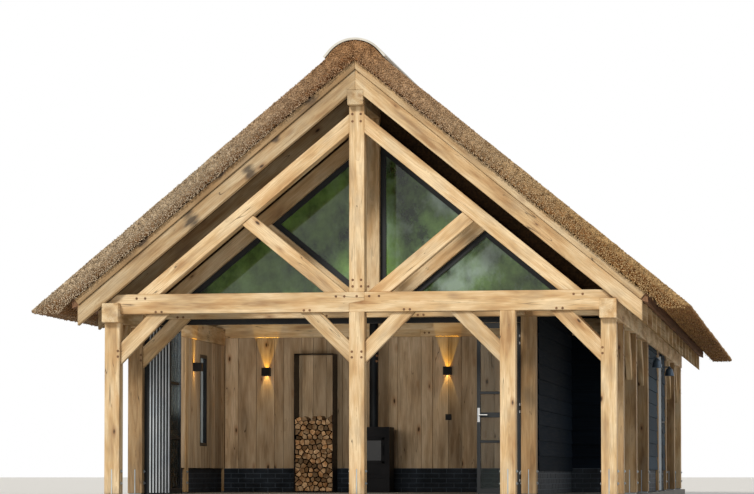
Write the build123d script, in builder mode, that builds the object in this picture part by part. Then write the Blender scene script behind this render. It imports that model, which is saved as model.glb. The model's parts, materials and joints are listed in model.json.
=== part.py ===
from build123d import *
import os
from math import cos, radians, sin, sqrt, tan

os.makedirs("parts", exist_ok=True)

# Summer house: green oak frames under a thatched roof, sizes in millimetres.
# X runs across the house, Y from the front to the back, Z up from the ground.
# The origin is on the ground under the middle of the roof.

# Plan
FRAME_WIDTH = 6400
POST = 190
PORCH_BAY = 1170
LOUNGE_FRONT_BAY = 2430
LOUNGE_REAR_BAY = 2480
STORE_FRONT_BAY = 2520
STORE_REAR_BAY = 2100
REAR_PORCH_BAY = 2600
LAST_BAY = 2100
AISLE_WIDTH = 1234
DOOR_POST_OFFSET = 130

# Heights above the ground
FLOOR = 100
POST_HEAD = 2254
TIE_UNDERSIDE = 2361
PLINTH_TOP = 447

# Timber frame
SLAB_MARGIN = 60
PLATE_WIDTH = 210
PLATE_HEIGHT = 240
BEAM_NOSE = 115
TIE_HEIGHT = 245
SCARF_STEP = 35
RIDGE_BEAM_WIDTH = 200
RIDGE_BEAM_HEIGHT = 185
RIDGE_NOTCH = 73
PRINCIPAL_DEPTH = 180
PRINCIPAL_DROP = 215
STRUT_DEPTH = 175
STRUT_WIDTH = 150
STRUT_FOOT = 410
BRACE_DEPTH = 190
BRACE_WIDTH = 80
BRACE_REACH = 630

# Roof
PITCH = 39.4
RAFTER_DEPTH = 190
RAFTER_WIDTH = 95
RAFTER_PAIRS = 17
RAFTER_SEAT = 25
RAFTER_TAIL = 320
DECK = 90
DECK_TAIL = 360
VERGE_BOARD = 28
VERGE_OVERHANG = 57
THATCH = 250
EAVE_OVERHANG = 910
EAVE_LIP = 55
EAVE_LEVEL = 350
EAVE_ROUND = 20
CROWN_RADIUS = 400
CROWN_STEEPER = 10.6
CROWN_PROUD = 24
RIDGE_CAP = 25
EAVE_BOARD = 30
EAVE_BOARD_HEIGHT = 110

# Steel feet
FOOT_PLATE = 12
FOOT_SIZE = 160
KNIFE_PLATE = 10
KNIFE_HEIGHT = 309

# Walls
WALL = 130
WALL_RECESS = 30
LINING = 25
PLINTH_WALL = 100
PLINTH_RECESS = 45
GABLE_FRAME = 70
GABLE_GLASS = 14
GABLE_SETBACK = 85
GABLE_FRAME_DEPTH = 60
INFILL = 22

# Folding glass doors
FOLDED_LEAVES = 7
PASS_LEAF = 550
LEAF_THICKNESS = 38
LEAF_GAP = 3
LEAF_STILE = 45
LEAF_RAIL = 70
LOCK_RAIL = 65
LOCK_HEIGHT = 1079
LEFT_JAMB = 60
RIGHT_JAMB = 20
TRACK_HEIGHT = 70
TRACK_WIDTH = 60
TRACK_SETBACK = 120
PACK_SETBACK = 100
LEAF_FLOOR_GAP = 10
LEAF_HEAD_GAP = 6
GLASS = 12
PIVOT_RADIUS = 6
DOOR_SIDE_GAP = 5

# Hinges and handles
HINGE_RADIUS = 10
HINGE_HEIGHT = 60
HINGE_GAP = 0.5
STRAP = 4
STRAP_LENGTH = 45
HANDLE_LEVER = 115
HANDLE_RADIUS = 9
HANDLE_REACH = 48
HANDLE_PLATE = 3
HANDLE_PLATE_WIDTH = 30
HANDLE_PLATE_HEIGHT = 180
HANDLE_HEIGHT = 1162
HANDLE_BACKSET = 65

# Side door
SIDE_DOOR_WIDTH = 940
SIDE_DOOR_HEAD = 81
SIDE_DOOR_THICKNESS = 54
SIDE_DOOR_FRAME = 45
SIDE_DOOR_GAP = 8
SIDE_DOOR_AJAR = 4

# Slot window in the left wall
SLOT_FROM_POST = 724
SLOT_WIDTH = 445
SLOT_SILL = 761
SLOT_HEIGHT = 1295
WINDOW_FRAME = 45

# Fixed fittings
CUBE_LAMP = 120
CUBE_LAMP_HEIGHT = 1860
CUBE_LAMP_WALL = 6
CUBE_LAMP_RECESS = 12
LAMP_LEFT_X = -2371
LAMP_RIGHT_X = 311
SIDE_LAMP_FROM_DOORS = 2952
BELL_LAMP_DROP = 280
BELL_LAMP_REACH = 130
BELL_RADIUS = 75
BELL_HEIGHT = 130
BELL_WALL = 3
BELL_NECK = 22
BELL_SHOULDER = 52
BELL_SHOULDER_DROP = 26
BELL_FROM_POST = 370
BELL_FROM_DOOR = 105
ROSE_DEPTH = 15
ARM_RADIUS = 10
WALL_ROSE = 45
SWITCH_SIZE = 85
SWITCH_DEPTH = 12
SWITCH_X = 314
SWITCH_HEIGHT = 1190
FLUE_RADIUS = 66
STOVE_X = -718
STOVE_WIDTH = 520
STOVE_DEPTH = 430
STOVE_TOP = 1040
STOVE_WALL = 12
STOVE_WINDOW = 340
FLUE_CLEARANCE = 12
RACK_X = -1609
RACK_WIDTH = 576
RACK_DEPTH = 360
RACK_TOP = 2110
RACK_PLATE = 8

# Frame lines: the front face of each row of posts, A at the front and H at the back
BAYS = (
    PORCH_BAY,
    LOUNGE_FRONT_BAY,
    LOUNGE_REAR_BAY,
    STORE_FRONT_BAY,
    STORE_REAR_BAY,
    REAR_PORCH_BAY,
    LAST_BAY,
)
FRAMES_LENGTH = sum(BAYS) + POST
Y_A, Y_B, Y_C, Y_D, Y_E, Y_F, Y_G, Y_H = [
    -FRAMES_LENGTH / 2 + sum(BAYS[:i]) for i in range(len(BAYS) + 1)
]

# Sizes that follow from the driving dimensions
HALF = FRAME_WIDTH / 2
INNER = HALF - POST
PLATE_TOP = POST_HEAD + PLATE_HEIGHT
PLATE_OUT = HALF + (PLATE_WIDTH - POST) / 2
PLATE_IN = PLATE_OUT - PLATE_WIDTH
TIE_TOP = TIE_UNDERSIDE + TIE_HEIGHT
BEAM_START = Y_A - BEAM_NOSE
BEAM_END = Y_H + POST + BEAM_NOSE
ROOF_START = BEAM_START - VERGE_BOARD - VERGE_OVERHANG
ROOF_END = BEAM_END + VERGE_BOARD + VERGE_OVERHANG
SLOPE = tan(radians(PITCH))
PLUMB = 1 / cos(radians(PITCH))
RAFTER_UNDER = PLATE_TOP - RAFTER_SEAT + PLATE_OUT * SLOPE
RAFTER_TOP = RAFTER_UNDER + RAFTER_DEPTH * PLUMB
DECK_TOP = RAFTER_TOP + DECK * PLUMB
THATCH_TOP = DECK_TOP + THATCH * PLUMB
PRINCIPAL_TOP = RAFTER_UNDER - PRINCIPAL_DROP
PRINCIPAL_UNDER = PRINCIPAL_TOP - PRINCIPAL_DEPTH * PLUMB
RIDGE_BEAM_TOP = RAFTER_UNDER - RIDGE_BEAM_WIDTH / 2 * SLOPE + RIDGE_NOTCH
KING_TOP = RIDGE_BEAM_TOP - RIDGE_BEAM_HEIGHT
RAFTER_END = HALF + RAFTER_TAIL
DECK_END = HALF + DECK_TAIL
EAVE = HALF + EAVE_OVERHANG
AISLE_RIGHT = HALF - AISLE_WIDTH
AISLE_LEFT = AISLE_RIGHT - POST
DOOR_POST = AISLE_LEFT + DOOR_POST_OFFSET
WALL_FACE = HALF - WALL_RECESS
WALL_BACK = WALL_FACE - WALL
POST_FOOT = FLOOR + FOOT_PLATE
KNIFE_TOP = POST_FOOT + KNIFE_HEIGHT
LEFT, RIGHT = -1, 1


def block(x0, x1, y0, y1, z0, z1, mode=Mode.ADD):
    """A box between two corners."""
    with Locations(((x0 + x1) / 2, (y0 + y1) / 2, (z0 + z1) / 2)):
        Box(abs(x1 - x0), y1 - y0, z1 - z0, mode=mode)


def across(points, y0, y1, mode=Mode.ADD):
    """An outline in X and Z, extruded from y0 back to y1."""
    with BuildSketch(Plane.XZ.offset(-y0)) as outline:
        with BuildLine():
            Polyline(*points, close=True)
        make_face()
    extrude(outline.sketch, amount=-(y1 - y0), mode=mode)


def along(points, x0, x1, mode=Mode.ADD):
    """An outline in Y and Z, extruded from x0 to x1."""
    with BuildSketch(Plane.YZ.offset(x0)) as outline:
        with BuildLine():
            Polyline(*points, close=True)
        make_face()
    extrude(outline.sketch, amount=x1 - x0, mode=mode)


def on_side(side, points):
    """The outline as drawn for the right side, or its mirror image for the left."""
    return [(side * x, z) for x, z in points]


def line_height(apex, x):
    """Height at x of a roof line that peaks at the apex."""
    return apex - abs(x) * SLOPE


def line_reach(apex, height):
    """Distance from the middle at which a roof line comes down to a height."""
    return (apex - height) / SLOPE


# Places of the posts: left face, front face and head height
POST_GROUPS = {
    "front_posts": [
        (-HALF, Y_A, POST_HEAD),
        (-POST / 2, Y_A, TIE_UNDERSIDE),
        (AISLE_LEFT, Y_A, TIE_UNDERSIDE),
        (INNER, Y_A, POST_HEAD),
    ],
    "inner_posts": [
        (-HALF, Y_B, POST_HEAD),
        (DOOR_POST, Y_B, TIE_UNDERSIDE),
        (INNER, Y_B, POST_HEAD),
        *[(-HALF, y, POST_HEAD) for y in (Y_C, Y_D, Y_E, Y_F, Y_G)],
        *[(INNER, y, POST_HEAD) for y in (Y_C, Y_D, Y_E, Y_F, Y_G)],
    ],
    "rear_posts": [
        (-HALF, Y_H, POST_HEAD),
        (-POST / 2, Y_H, TIE_UNDERSIDE),
        (INNER, Y_H, POST_HEAD),
    ],
}

# Floor slab
with BuildPart() as floor_slab:
    slab_x = HALF + SLAB_MARGIN
    slab_y = FRAMES_LENGTH / 2 + SLAB_MARGIN
    block(-slab_x, slab_x, -slab_y, slab_y, 0, FLOOR)
floor_slab.part.label = "floor_slab"
export_step(floor_slab.part, "parts/floor_slab.step")

# Steel feet: a base plate and an upright knife plate under every post
with BuildPart() as post_feet:
    for places in POST_GROUPS.values():
        for x, y, head in places:
            middle_x = x + POST / 2
            middle_y = y + POST / 2
            with Locations((middle_x, middle_y, FLOOR + FOOT_PLATE / 2)):
                Box(FOOT_SIZE, FOOT_SIZE, FOOT_PLATE)
            with Locations((middle_x, middle_y, (POST_FOOT + KNIFE_TOP) / 2)):
                Box(KNIFE_PLATE, POST, KNIFE_HEIGHT)
post_feet.part.label = "post_feet"
export_step(post_feet.part, "parts/post_feet.step")

# Posts, slotted from below for the knife plates
for group_name, places in POST_GROUPS.items():
    with BuildPart() as posts:
        for x, y, head in places:
            block(x, x + POST, y, y + POST, POST_FOOT, head)
        for x, y, head in places:
            with Locations((x + POST / 2, y + POST / 2, (POST_FOOT + KNIFE_TOP) / 2)):
                Box(KNIFE_PLATE, POST, KNIFE_HEIGHT, mode=Mode.SUBTRACT)
    posts.part.label = group_name
    export_step(posts.part, f"parts/{group_name}.step")

# Wall plates on the side posts
with BuildPart() as wall_plates:
    for side in (LEFT, RIGHT):
        block(side * PLATE_IN, side * PLATE_OUT, BEAM_START, BEAM_END, POST_HEAD, PLATE_TOP)
wall_plates.part.label = "wall_plates"
export_step(wall_plates.part, "parts/wall_plates.step")

# Ridge beam
with BuildPart() as ridge_beam:
    half_ridge = RIDGE_BEAM_WIDTH / 2
    block(-half_ridge, half_ridge, BEAM_START, BEAM_END, KING_TOP, RIDGE_BEAM_TOP)
ridge_beam.part.label = "ridge_beam"
export_step(ridge_beam.part, "parts/ridge_beam.step")

# Tie beams: two lengths scarfed over the middle, notched over the wall plates
scarf_low = TIE_UNDERSIDE + (TIE_HEIGHT - SCARF_STEP) / 2
scarf_high = scarf_low + SCARF_STEP
tie_end = [
    (PLATE_IN, TIE_UNDERSIDE),
    (PLATE_IN, PLATE_TOP),
    (line_reach(RAFTER_UNDER, PLATE_TOP), PLATE_TOP),
    (line_reach(RAFTER_UNDER, TIE_TOP), TIE_TOP),
]
tie_right = [
    (-POST / 2, TIE_UNDERSIDE),
    *tie_end,
    (POST / 2, TIE_TOP),
    (POST / 2, scarf_high),
    (-POST / 2, scarf_low),
]
tie_left = [
    (-POST / 2, TIE_UNDERSIDE),
    (-POST / 2, scarf_low),
    (POST / 2, scarf_high),
    (POST / 2, TIE_TOP),
    *on_side(LEFT, reversed(tie_end)),
]
for name, outline in (("tie_beams_left", tie_left), ("tie_beams_right", tie_right)):
    with BuildPart() as tie_beams:
        for y in (Y_A, Y_B, Y_D, Y_F, Y_H):
            across(outline, y, y + POST)
    tie_beams.part.label = name
    export_step(tie_beams.part, f"parts/{name}.step")

# Open trusses: king posts, principal rafters and struts
OPEN_TRUSSES = (Y_A, Y_B, Y_H)
with BuildPart() as king_posts:
    for y in OPEN_TRUSSES:
        block(-POST / 2, POST / 2, y, y + POST, TIE_TOP, KING_TOP)
king_posts.part.label = "king_posts"
export_step(king_posts.part, "parts/king_posts.step")

principal = [
    (POST / 2, line_height(PRINCIPAL_TOP, POST / 2)),
    (line_reach(PRINCIPAL_TOP, TIE_TOP), TIE_TOP),
    (line_reach(PRINCIPAL_UNDER, TIE_TOP), TIE_TOP),
    (POST / 2, line_height(PRINCIPAL_UNDER, POST / 2)),
]
strut_heel = STRUT_FOOT - STRUT_DEPTH * PLUMB / SLOPE
strut_low = (line_reach(PRINCIPAL_UNDER, TIE_TOP) + STRUT_FOOT) / 2
strut_high = (line_reach(PRINCIPAL_UNDER, TIE_TOP) + strut_heel) / 2
strut = [
    (strut_heel, TIE_TOP),
    (STRUT_FOOT, TIE_TOP),
    (strut_low, line_height(PRINCIPAL_UNDER, strut_low)),
    (strut_high, line_height(PRINCIPAL_UNDER, strut_high)),
]
strut_inset = (POST - STRUT_WIDTH) / 2
with BuildPart() as principal_rafters:
    for y in OPEN_TRUSSES:
        for side in (LEFT, RIGHT):
            across(on_side(side, principal), y, y + POST)
principal_rafters.part.label = "principal_rafters"
export_step(principal_rafters.part, "parts/principal_rafters.step")

with BuildPart() as struts:
    for y in OPEN_TRUSSES:
        for side in (LEFT, RIGHT):
            across(on_side(side, strut), y + strut_inset, y + POST - strut_inset)
struts.part.label = "struts"
export_step(struts.part, "parts/struts.step")


def knee(corner, head, direction):
    """Outline of a knee brace between the side of a post and the beam over it."""
    inner = BRACE_REACH - BRACE_DEPTH * sqrt(2)
    return [
        (corner, head - BRACE_REACH),
        (corner + direction * BRACE_REACH, head),
        (corner + direction * inner, head),
        (corner, head - inner),
    ]


# Knee braces under the tie beams
FRONT_BRACES = [
    (-INNER, RIGHT),
    (-POST / 2, LEFT),
    (POST / 2, RIGHT),
    (AISLE_LEFT, LEFT),
    (INNER, LEFT),
]
DOOR_BRACES = [(-INNER, RIGHT), (INNER, LEFT)]
REAR_BRACES = [(-INNER, RIGHT), (-POST / 2, LEFT), (POST / 2, RIGHT), (INNER, LEFT)]
brace_inset = (POST - BRACE_WIDTH) / 2
with BuildPart() as cross_braces:
    for y, corners in (
        (Y_A + brace_inset, FRONT_BRACES),
        (Y_B + strut_inset, DOOR_BRACES),
        (Y_H + brace_inset, REAR_BRACES),
    ):
        for corner, direction in corners:
            across(knee(corner, TIE_UNDERSIDE, direction), y, y + BRACE_WIDTH)
cross_braces.part.label = "cross_braces"
export_step(cross_braces.part, "parts/cross_braces.step")

# Knee braces under the wall plates, in the open bays
BACK, FORWARD = 1, -1
OPEN_REAR = [(Y_F + POST, BACK), (Y_G, FORWARD), (Y_G + POST, BACK), (Y_H, FORWARD)]
OPEN_RIGHT = [(Y_B + POST, BACK), (Y_C, FORWARD), (Y_C + POST, BACK), (Y_D, FORWARD)]
SIDE_BRACES = {
    LEFT: [(Y_A + POST, BACK), *OPEN_REAR],
    RIGHT: [(Y_A + POST, BACK), *OPEN_RIGHT, *OPEN_REAR],
}
with BuildPart() as side_braces:
    for side, corners in SIDE_BRACES.items():
        middle = side * (HALF - POST / 2)
        for corner, direction in corners:
            outline = knee(corner, POST_HEAD, direction)
            along(outline, middle - BRACE_WIDTH / 2, middle + BRACE_WIDTH / 2)
side_braces.part.label = "side_braces"
export_step(side_braces.part, "parts/side_braces.step")

# Aisle beam from the front frame to the back wall of the lounge
with BuildPart() as aisle_beam:
    block(AISLE_LEFT, AISLE_RIGHT, Y_A + POST, Y_B, TIE_UNDERSIDE, TIE_TOP)
    block(AISLE_LEFT, AISLE_RIGHT, Y_B + POST, Y_D, TIE_UNDERSIDE, TIE_TOP)
aisle_beam.part.label = "aisle_beam"
export_step(aisle_beam.part, "parts/aisle_beam.step")

# Common rafters, notched over the wall plates and the ridge beam, cut plumb at the tails
rafter_pitch = (BEAM_END - BEAM_START - RAFTER_WIDTH) / (RAFTER_PAIRS - 1)
rafter_fronts = [BEAM_START + i * rafter_pitch for i in range(RAFTER_PAIRS)]
rafter = [
    (0, RIDGE_BEAM_TOP),
    (RIDGE_BEAM_WIDTH / 2, RIDGE_BEAM_TOP),
    (RIDGE_BEAM_WIDTH / 2, line_height(RAFTER_UNDER, RIDGE_BEAM_WIDTH / 2)),
    (line_reach(RAFTER_UNDER, PLATE_TOP), PLATE_TOP),
    (PLATE_OUT, PLATE_TOP),
    (PLATE_OUT, line_height(RAFTER_UNDER, PLATE_OUT)),
    (RAFTER_END, line_height(RAFTER_UNDER, RAFTER_END)),
    (RAFTER_END, line_height(RAFTER_TOP, RAFTER_END)),
    (0, RAFTER_TOP),
]
for side, name in ((LEFT, "rafters_left"), (RIGHT, "rafters_right")):
    with BuildPart() as rafters:
        for y in rafter_fronts:
            across(on_side(side, rafter), y, y + RAFTER_WIDTH)
    rafters.part.label = name
    export_step(rafters.part, f"parts/{name}.step")

# Boarded deck on the rafters, cut square to the slope at the eaves
deck_foot = DECK_END - DECK * sin(radians(PITCH))
deck = [
    (0, RAFTER_TOP),
    (deck_foot, line_height(RAFTER_TOP, deck_foot)),
    (DECK_END, line_height(DECK_TOP, DECK_END)),
    (0, DECK_TOP),
]
for side, name in ((LEFT, "roof_deck_left"), (RIGHT, "roof_deck_right")):
    with BuildPart() as roof_deck:
        across(on_side(side, deck), BEAM_START, BEAM_END)
    roof_deck.part.label = name
    export_step(roof_deck.part, f"parts/{name}.step")

# Verge boards over the ends of the deck
for side, name in ((LEFT, "verge_boards_left"), (RIGHT, "verge_boards_right")):
    with BuildPart() as verge_boards:
        for y in (BEAM_START - VERGE_BOARD, BEAM_END):
            across(on_side(side, deck), y, y + VERGE_BOARD)
    verge_boards.part.label = name
    export_step(verge_boards.part, f"parts/{name}.step")

# Eave boards that close the deck edge and tilt the first reed
eave_top = line_height(DECK_TOP, DECK_END)
eave_board = [
    (deck_foot, line_height(RAFTER_TOP, deck_foot)),
    (DECK_END, eave_top),
    (DECK_END + EAVE_BOARD, eave_top),
    (DECK_END + EAVE_BOARD, eave_top - EAVE_BOARD_HEIGHT),
    (RAFTER_END, line_height(RAFTER_TOP, RAFTER_END)),
]
with BuildPart() as eave_boards:
    for side in (LEFT, RIGHT):
        across(on_side(side, eave_board), BEAM_START, BEAM_END)
eave_boards.part.label = "eave_boards"
export_step(eave_boards.part, "parts/eave_boards.step")

# Thatch: the eave is cut level, the crown is a rounded roll that stands proud of the slopes
crown_angle = radians(PITCH + CROWN_STEEPER)
crown_slope = tan(crown_angle)
shoulder_x = CROWN_RADIUS * sin(crown_angle)
shoulder_z = line_height(THATCH_TOP, shoulder_x) + CROWN_PROUD
crown_middle = shoulder_z - CROWN_RADIUS * cos(crown_angle)
crown_top = crown_middle + CROWN_RADIUS
valley_x = (shoulder_z + shoulder_x * crown_slope - THATCH_TOP) / (crown_slope - SLOPE)
valley_z = line_height(THATCH_TOP, valley_x)
lip_top = line_height(THATCH_TOP, EAVE)
lip_low = lip_top - EAVE_LIP
thatch_foot = DECK_END + EAVE_BOARD
crown_arc_x = CROWN_RADIUS * sin(crown_angle / 2)
crown_arc_z = crown_middle + CROWN_RADIUS * cos(crown_angle / 2)
for side, name in ((LEFT, "thatch_left"), (RIGHT, "thatch_right")):
    with BuildPart() as thatch:
        with BuildSketch(Plane.XZ.offset(-ROOF_START)):
            with BuildLine():
                Polyline(
                    (0, crown_top),
                    (0, DECK_TOP),
                    (side * DECK_END, eave_top),
                    (side * thatch_foot, eave_top),
                    (side * (EAVE - EAVE_LEVEL), lip_low),
                    (side * (EAVE - EAVE_ROUND), lip_low),
                    (side * EAVE, lip_low + EAVE_ROUND),
                    (side * EAVE, lip_top),
                    (side * valley_x, valley_z),
                    (side * shoulder_x, shoulder_z),
                )
                ThreePointArc(
                    (side * shoulder_x, shoulder_z),
                    (side * crown_arc_x, crown_arc_z),
                    (0, crown_top),
                )
            make_face()
        extrude(amount=ROOF_START - ROOF_END)
    thatch.part.label = name
    export_step(thatch.part, f"parts/{name}.step")

# Ridge cap over the crown of the thatch
cap_radius = CROWN_RADIUS + RIDGE_CAP
cap_out_x = RIDGE_CAP * sin(crown_angle)
cap_out_z = RIDGE_CAP * cos(crown_angle)
with BuildPart() as ridge_cap:
    with BuildSketch(Plane.XZ.offset(-ROOF_START)):
        with BuildLine():
            ThreePointArc(
                (-shoulder_x, shoulder_z),
                (0, crown_top),
                (shoulder_x, shoulder_z),
            )
            Polyline(
                (shoulder_x, shoulder_z),
                (valley_x, valley_z),
                (valley_x + cap_out_x, valley_z + cap_out_z),
                (shoulder_x + cap_out_x, shoulder_z + cap_out_z),
            )
            ThreePointArc(
                (shoulder_x + cap_out_x, shoulder_z + cap_out_z),
                (0, crown_middle + cap_radius),
                (-shoulder_x - cap_out_x, shoulder_z + cap_out_z),
            )
            Polyline(
                (-shoulder_x - cap_out_x, shoulder_z + cap_out_z),
                (-valley_x - cap_out_x, valley_z + cap_out_z),
                (-valley_x, valley_z),
                (-shoulder_x, shoulder_z),
            )
        make_face()
    extrude(amount=ROOF_START - ROOF_END)
ridge_cap.part.label = "ridge_cap"
export_step(ridge_cap.part, "parts/ridge_cap.step")

# Glazed gable in the door frame: four framed panes between the truss members
upper_pane = [
    (POST / 2, TIE_TOP),
    (strut_heel, TIE_TOP),
    (strut_high, line_height(PRINCIPAL_UNDER, strut_high)),
    (POST / 2, line_height(PRINCIPAL_UNDER, POST / 2)),
]
lower_pane = [
    (STRUT_FOOT, TIE_TOP),
    (line_reach(PRINCIPAL_UNDER, TIE_TOP), TIE_TOP),
    (strut_low, line_height(PRINCIPAL_UNDER, strut_low)),
]
gable_y = Y_B + GABLE_SETBACK
pane_y = gable_y + (GABLE_FRAME_DEPTH - GABLE_GLASS) / 2
with BuildPart() as gable_window_frames:
    for side in (LEFT, RIGHT):
        for outline in (upper_pane, lower_pane):
            with BuildSketch(Plane.XZ.offset(-gable_y)):
                with BuildLine():
                    Polyline(*on_side(side, outline), close=True)
                make_face()
                offset(amount=-GABLE_FRAME, kind=Kind.INTERSECTION, mode=Mode.SUBTRACT)
            extrude(amount=-GABLE_FRAME_DEPTH)
gable_window_frames.part.label = "gable_window_frames"
export_step(gable_window_frames.part, "parts/gable_window_frames.step")

with BuildPart() as gable_window_glass:
    for side in (LEFT, RIGHT):
        for outline in (upper_pane, lower_pane):
            with BuildSketch(Plane.XZ.offset(-pane_y)):
                with BuildLine():
                    Polyline(*on_side(side, outline), close=True)
                make_face()
                offset(amount=-GABLE_FRAME, kind=Kind.INTERSECTION, mode=Mode.REPLACE)
            extrude(amount=-GABLE_GLASS)
gable_window_glass.part.label = "gable_window_glass"
export_step(gable_window_glass.part, "parts/gable_window_glass.step")

# Boards that close the gable between the principal rafters and the deck
infill = [
    (RIDGE_BEAM_WIDTH / 2, line_height(PRINCIPAL_TOP, RIDGE_BEAM_WIDTH / 2)),
    (line_reach(PRINCIPAL_TOP, TIE_TOP), TIE_TOP),
    (line_reach(RAFTER_UNDER, TIE_TOP), TIE_TOP),
    (line_reach(RAFTER_UNDER, PLATE_TOP), PLATE_TOP),
    (PLATE_OUT, PLATE_TOP),
    (PLATE_OUT, line_height(RAFTER_TOP, PLATE_OUT)),
    (RIDGE_BEAM_WIDTH / 2, line_height(RAFTER_TOP, RIDGE_BEAM_WIDTH / 2)),
]
with BuildPart() as gable_infill:
    for side in (LEFT, RIGHT):
        across(on_side(side, infill), gable_y, gable_y + INFILL)
gable_infill.part.label = "gable_infill"
export_step(gable_infill.part, "parts/gable_infill.step")

# Walls across the house at both ends of the store room: under the tie beams,
# and over them up to the deck, fitted round the rafters
gable_wall = [
    (-line_reach(RAFTER_UNDER, TIE_TOP), TIE_TOP),
    (line_reach(RAFTER_UNDER, TIE_TOP), TIE_TOP),
    (line_reach(RAFTER_TOP, TIE_TOP), TIE_TOP),
    (0, RAFTER_TOP),
    (-line_reach(RAFTER_TOP, TIE_TOP), TIE_TOP),
]
with BuildPart() as cross_walls:
    for wall_y in (Y_D + WALL_RECESS, Y_F + WALL_RECESS):
        across(gable_wall, wall_y, wall_y + WALL)
        block(-half_ridge, half_ridge, wall_y, wall_y + WALL, KING_TOP, RIDGE_BEAM_TOP, mode=Mode.SUBTRACT)
        for front in rafter_fronts:
            if front < wall_y + WALL and front + RAFTER_WIDTH > wall_y:
                for side in (LEFT, RIGHT):
                    across(on_side(side, rafter), front, front + RAFTER_WIDTH, mode=Mode.SUBTRACT)
        block(-INNER, INNER, wall_y, wall_y + WALL, PLINTH_TOP, POST_HEAD)
        block(-PLATE_IN, PLATE_IN, wall_y, wall_y + WALL, POST_HEAD, TIE_UNDERSIDE)
cross_walls.part.label = "cross_walls"
export_step(cross_walls.part, "parts/cross_walls.step")

# Side walls between the posts, with a slot window on the left and a doorway on the right
slot_front = Y_C + POST + SLOT_FROM_POST
slot_back = slot_front + SLOT_WIDTH
slot_head = SLOT_SILL + SLOT_HEIGHT
door_front = Y_E + POST + SIDE_DOOR_FRAME + SIDE_DOOR_GAP
door_back = door_front + SIDE_DOOR_WIDTH
frame_front = door_front - SIDE_DOOR_GAP
frame_back = door_back + SIDE_DOOR_GAP
LEFT_BAYS = [(Y_B + POST, Y_C), (Y_C + POST, Y_D), (Y_D + POST, Y_E), (Y_E + POST, Y_F)]
RIGHT_BAYS = [(Y_D + POST, Y_E), (frame_back + SIDE_DOOR_FRAME, Y_F)]
with BuildPart() as side_walls:
    for y0, y1 in LEFT_BAYS:
        block(-WALL_FACE, -WALL_BACK, y0, y1, PLINTH_TOP, POST_HEAD)
    block(-WALL_FACE, -WALL_BACK, slot_front, slot_back, SLOT_SILL, slot_head, mode=Mode.SUBTRACT)
    for y0, y1 in RIGHT_BAYS:
        block(WALL_BACK, WALL_FACE, y0, y1, PLINTH_TOP, POST_HEAD)
side_walls.part.label = "side_walls"
export_step(side_walls.part, "parts/side_walls.step")

# Wall between the lounge and the aisle, up to the rafters
aisle_face = DOOR_POST + POST
aisle_back = aisle_face - WALL
aisle_wall_outline = [
    (aisle_back, PLINTH_TOP),
    (aisle_face, PLINTH_TOP),
    (aisle_face, line_height(RAFTER_UNDER, aisle_face)),
    (aisle_back, line_height(RAFTER_UNDER, aisle_back)),
]
with BuildPart() as aisle_wall:
    across(aisle_wall_outline, Y_B + POST, Y_D)
aisle_wall.part.label = "aisle_wall"
export_step(aisle_wall.part, "parts/aisle_wall.step")

# Oak lining inside the lounge
lining_y = Y_D + WALL_RECESS - LINING
lining_face = -WALL_BACK + LINING
with BuildPart() as oak_lining:
    block(-WALL_BACK, lining_face, Y_B + POST, Y_C, PLINTH_TOP, POST_HEAD)
    block(-WALL_BACK, lining_face, Y_C + POST, Y_D, PLINTH_TOP, POST_HEAD)
    block(-WALL_BACK, lining_face, slot_front, slot_back, SLOT_SILL, slot_head, mode=Mode.SUBTRACT)
    block(-INNER, aisle_back, lining_y, lining_y + LINING, PLINTH_TOP, POST_HEAD)
    block(-PLATE_IN, aisle_back, lining_y, lining_y + LINING, POST_HEAD, TIE_UNDERSIDE)
oak_lining.part.label = "oak_lining"
export_step(oak_lining.part, "parts/oak_lining.step")

# Brick plinths under the walls
plinth_face = HALF - PLINTH_RECESS
plinth_back = plinth_face - PLINTH_WALL
with BuildPart() as side_plinths:
    for y0, y1 in LEFT_BAYS:
        block(-plinth_face, -plinth_back, y0, y1, FLOOR, PLINTH_TOP)
    for y0, y1 in RIGHT_BAYS:
        block(plinth_back, plinth_face, y0, y1, FLOOR, PLINTH_TOP)
    block(aisle_back, aisle_face, Y_B + POST, Y_D, FLOOR, PLINTH_TOP)
side_plinths.part.label = "side_plinths"
export_step(side_plinths.part, "parts/side_plinths.step")

with BuildPart() as cross_plinths:
    for y in (Y_D, Y_F):
        block(-INNER, INNER, y, y + POST - PLINTH_RECESS, FLOOR, PLINTH_TOP)
cross_plinths.part.label = "cross_plinths"
export_step(cross_plinths.part, "parts/cross_plinths.step")

# Slot window
with BuildPart() as slot_window_frame:
    block(-WALL_FACE, lining_face, slot_front, slot_back, SLOT_SILL, slot_head)
    block(
        -WALL_FACE,
        lining_face,
        slot_front + WINDOW_FRAME,
        slot_back - WINDOW_FRAME,
        SLOT_SILL + WINDOW_FRAME,
        slot_head - WINDOW_FRAME,
        mode=Mode.SUBTRACT,
    )
slot_window_frame.part.label = "slot_window_frame"
export_step(slot_window_frame.part, "parts/slot_window_frame.step")

slot_middle = -(WALL_FACE + WALL_BACK) / 2
with BuildPart() as slot_window_glass:
    block(
        slot_middle - GLASS / 2,
        slot_middle + GLASS / 2,
        slot_front + WINDOW_FRAME,
        slot_back - WINDOW_FRAME,
        SLOT_SILL + WINDOW_FRAME,
        slot_head - WINDOW_FRAME,
    )
slot_window_glass.part.label = "slot_window_glass"
export_step(slot_window_glass.part, "parts/slot_window_glass.step")

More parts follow.
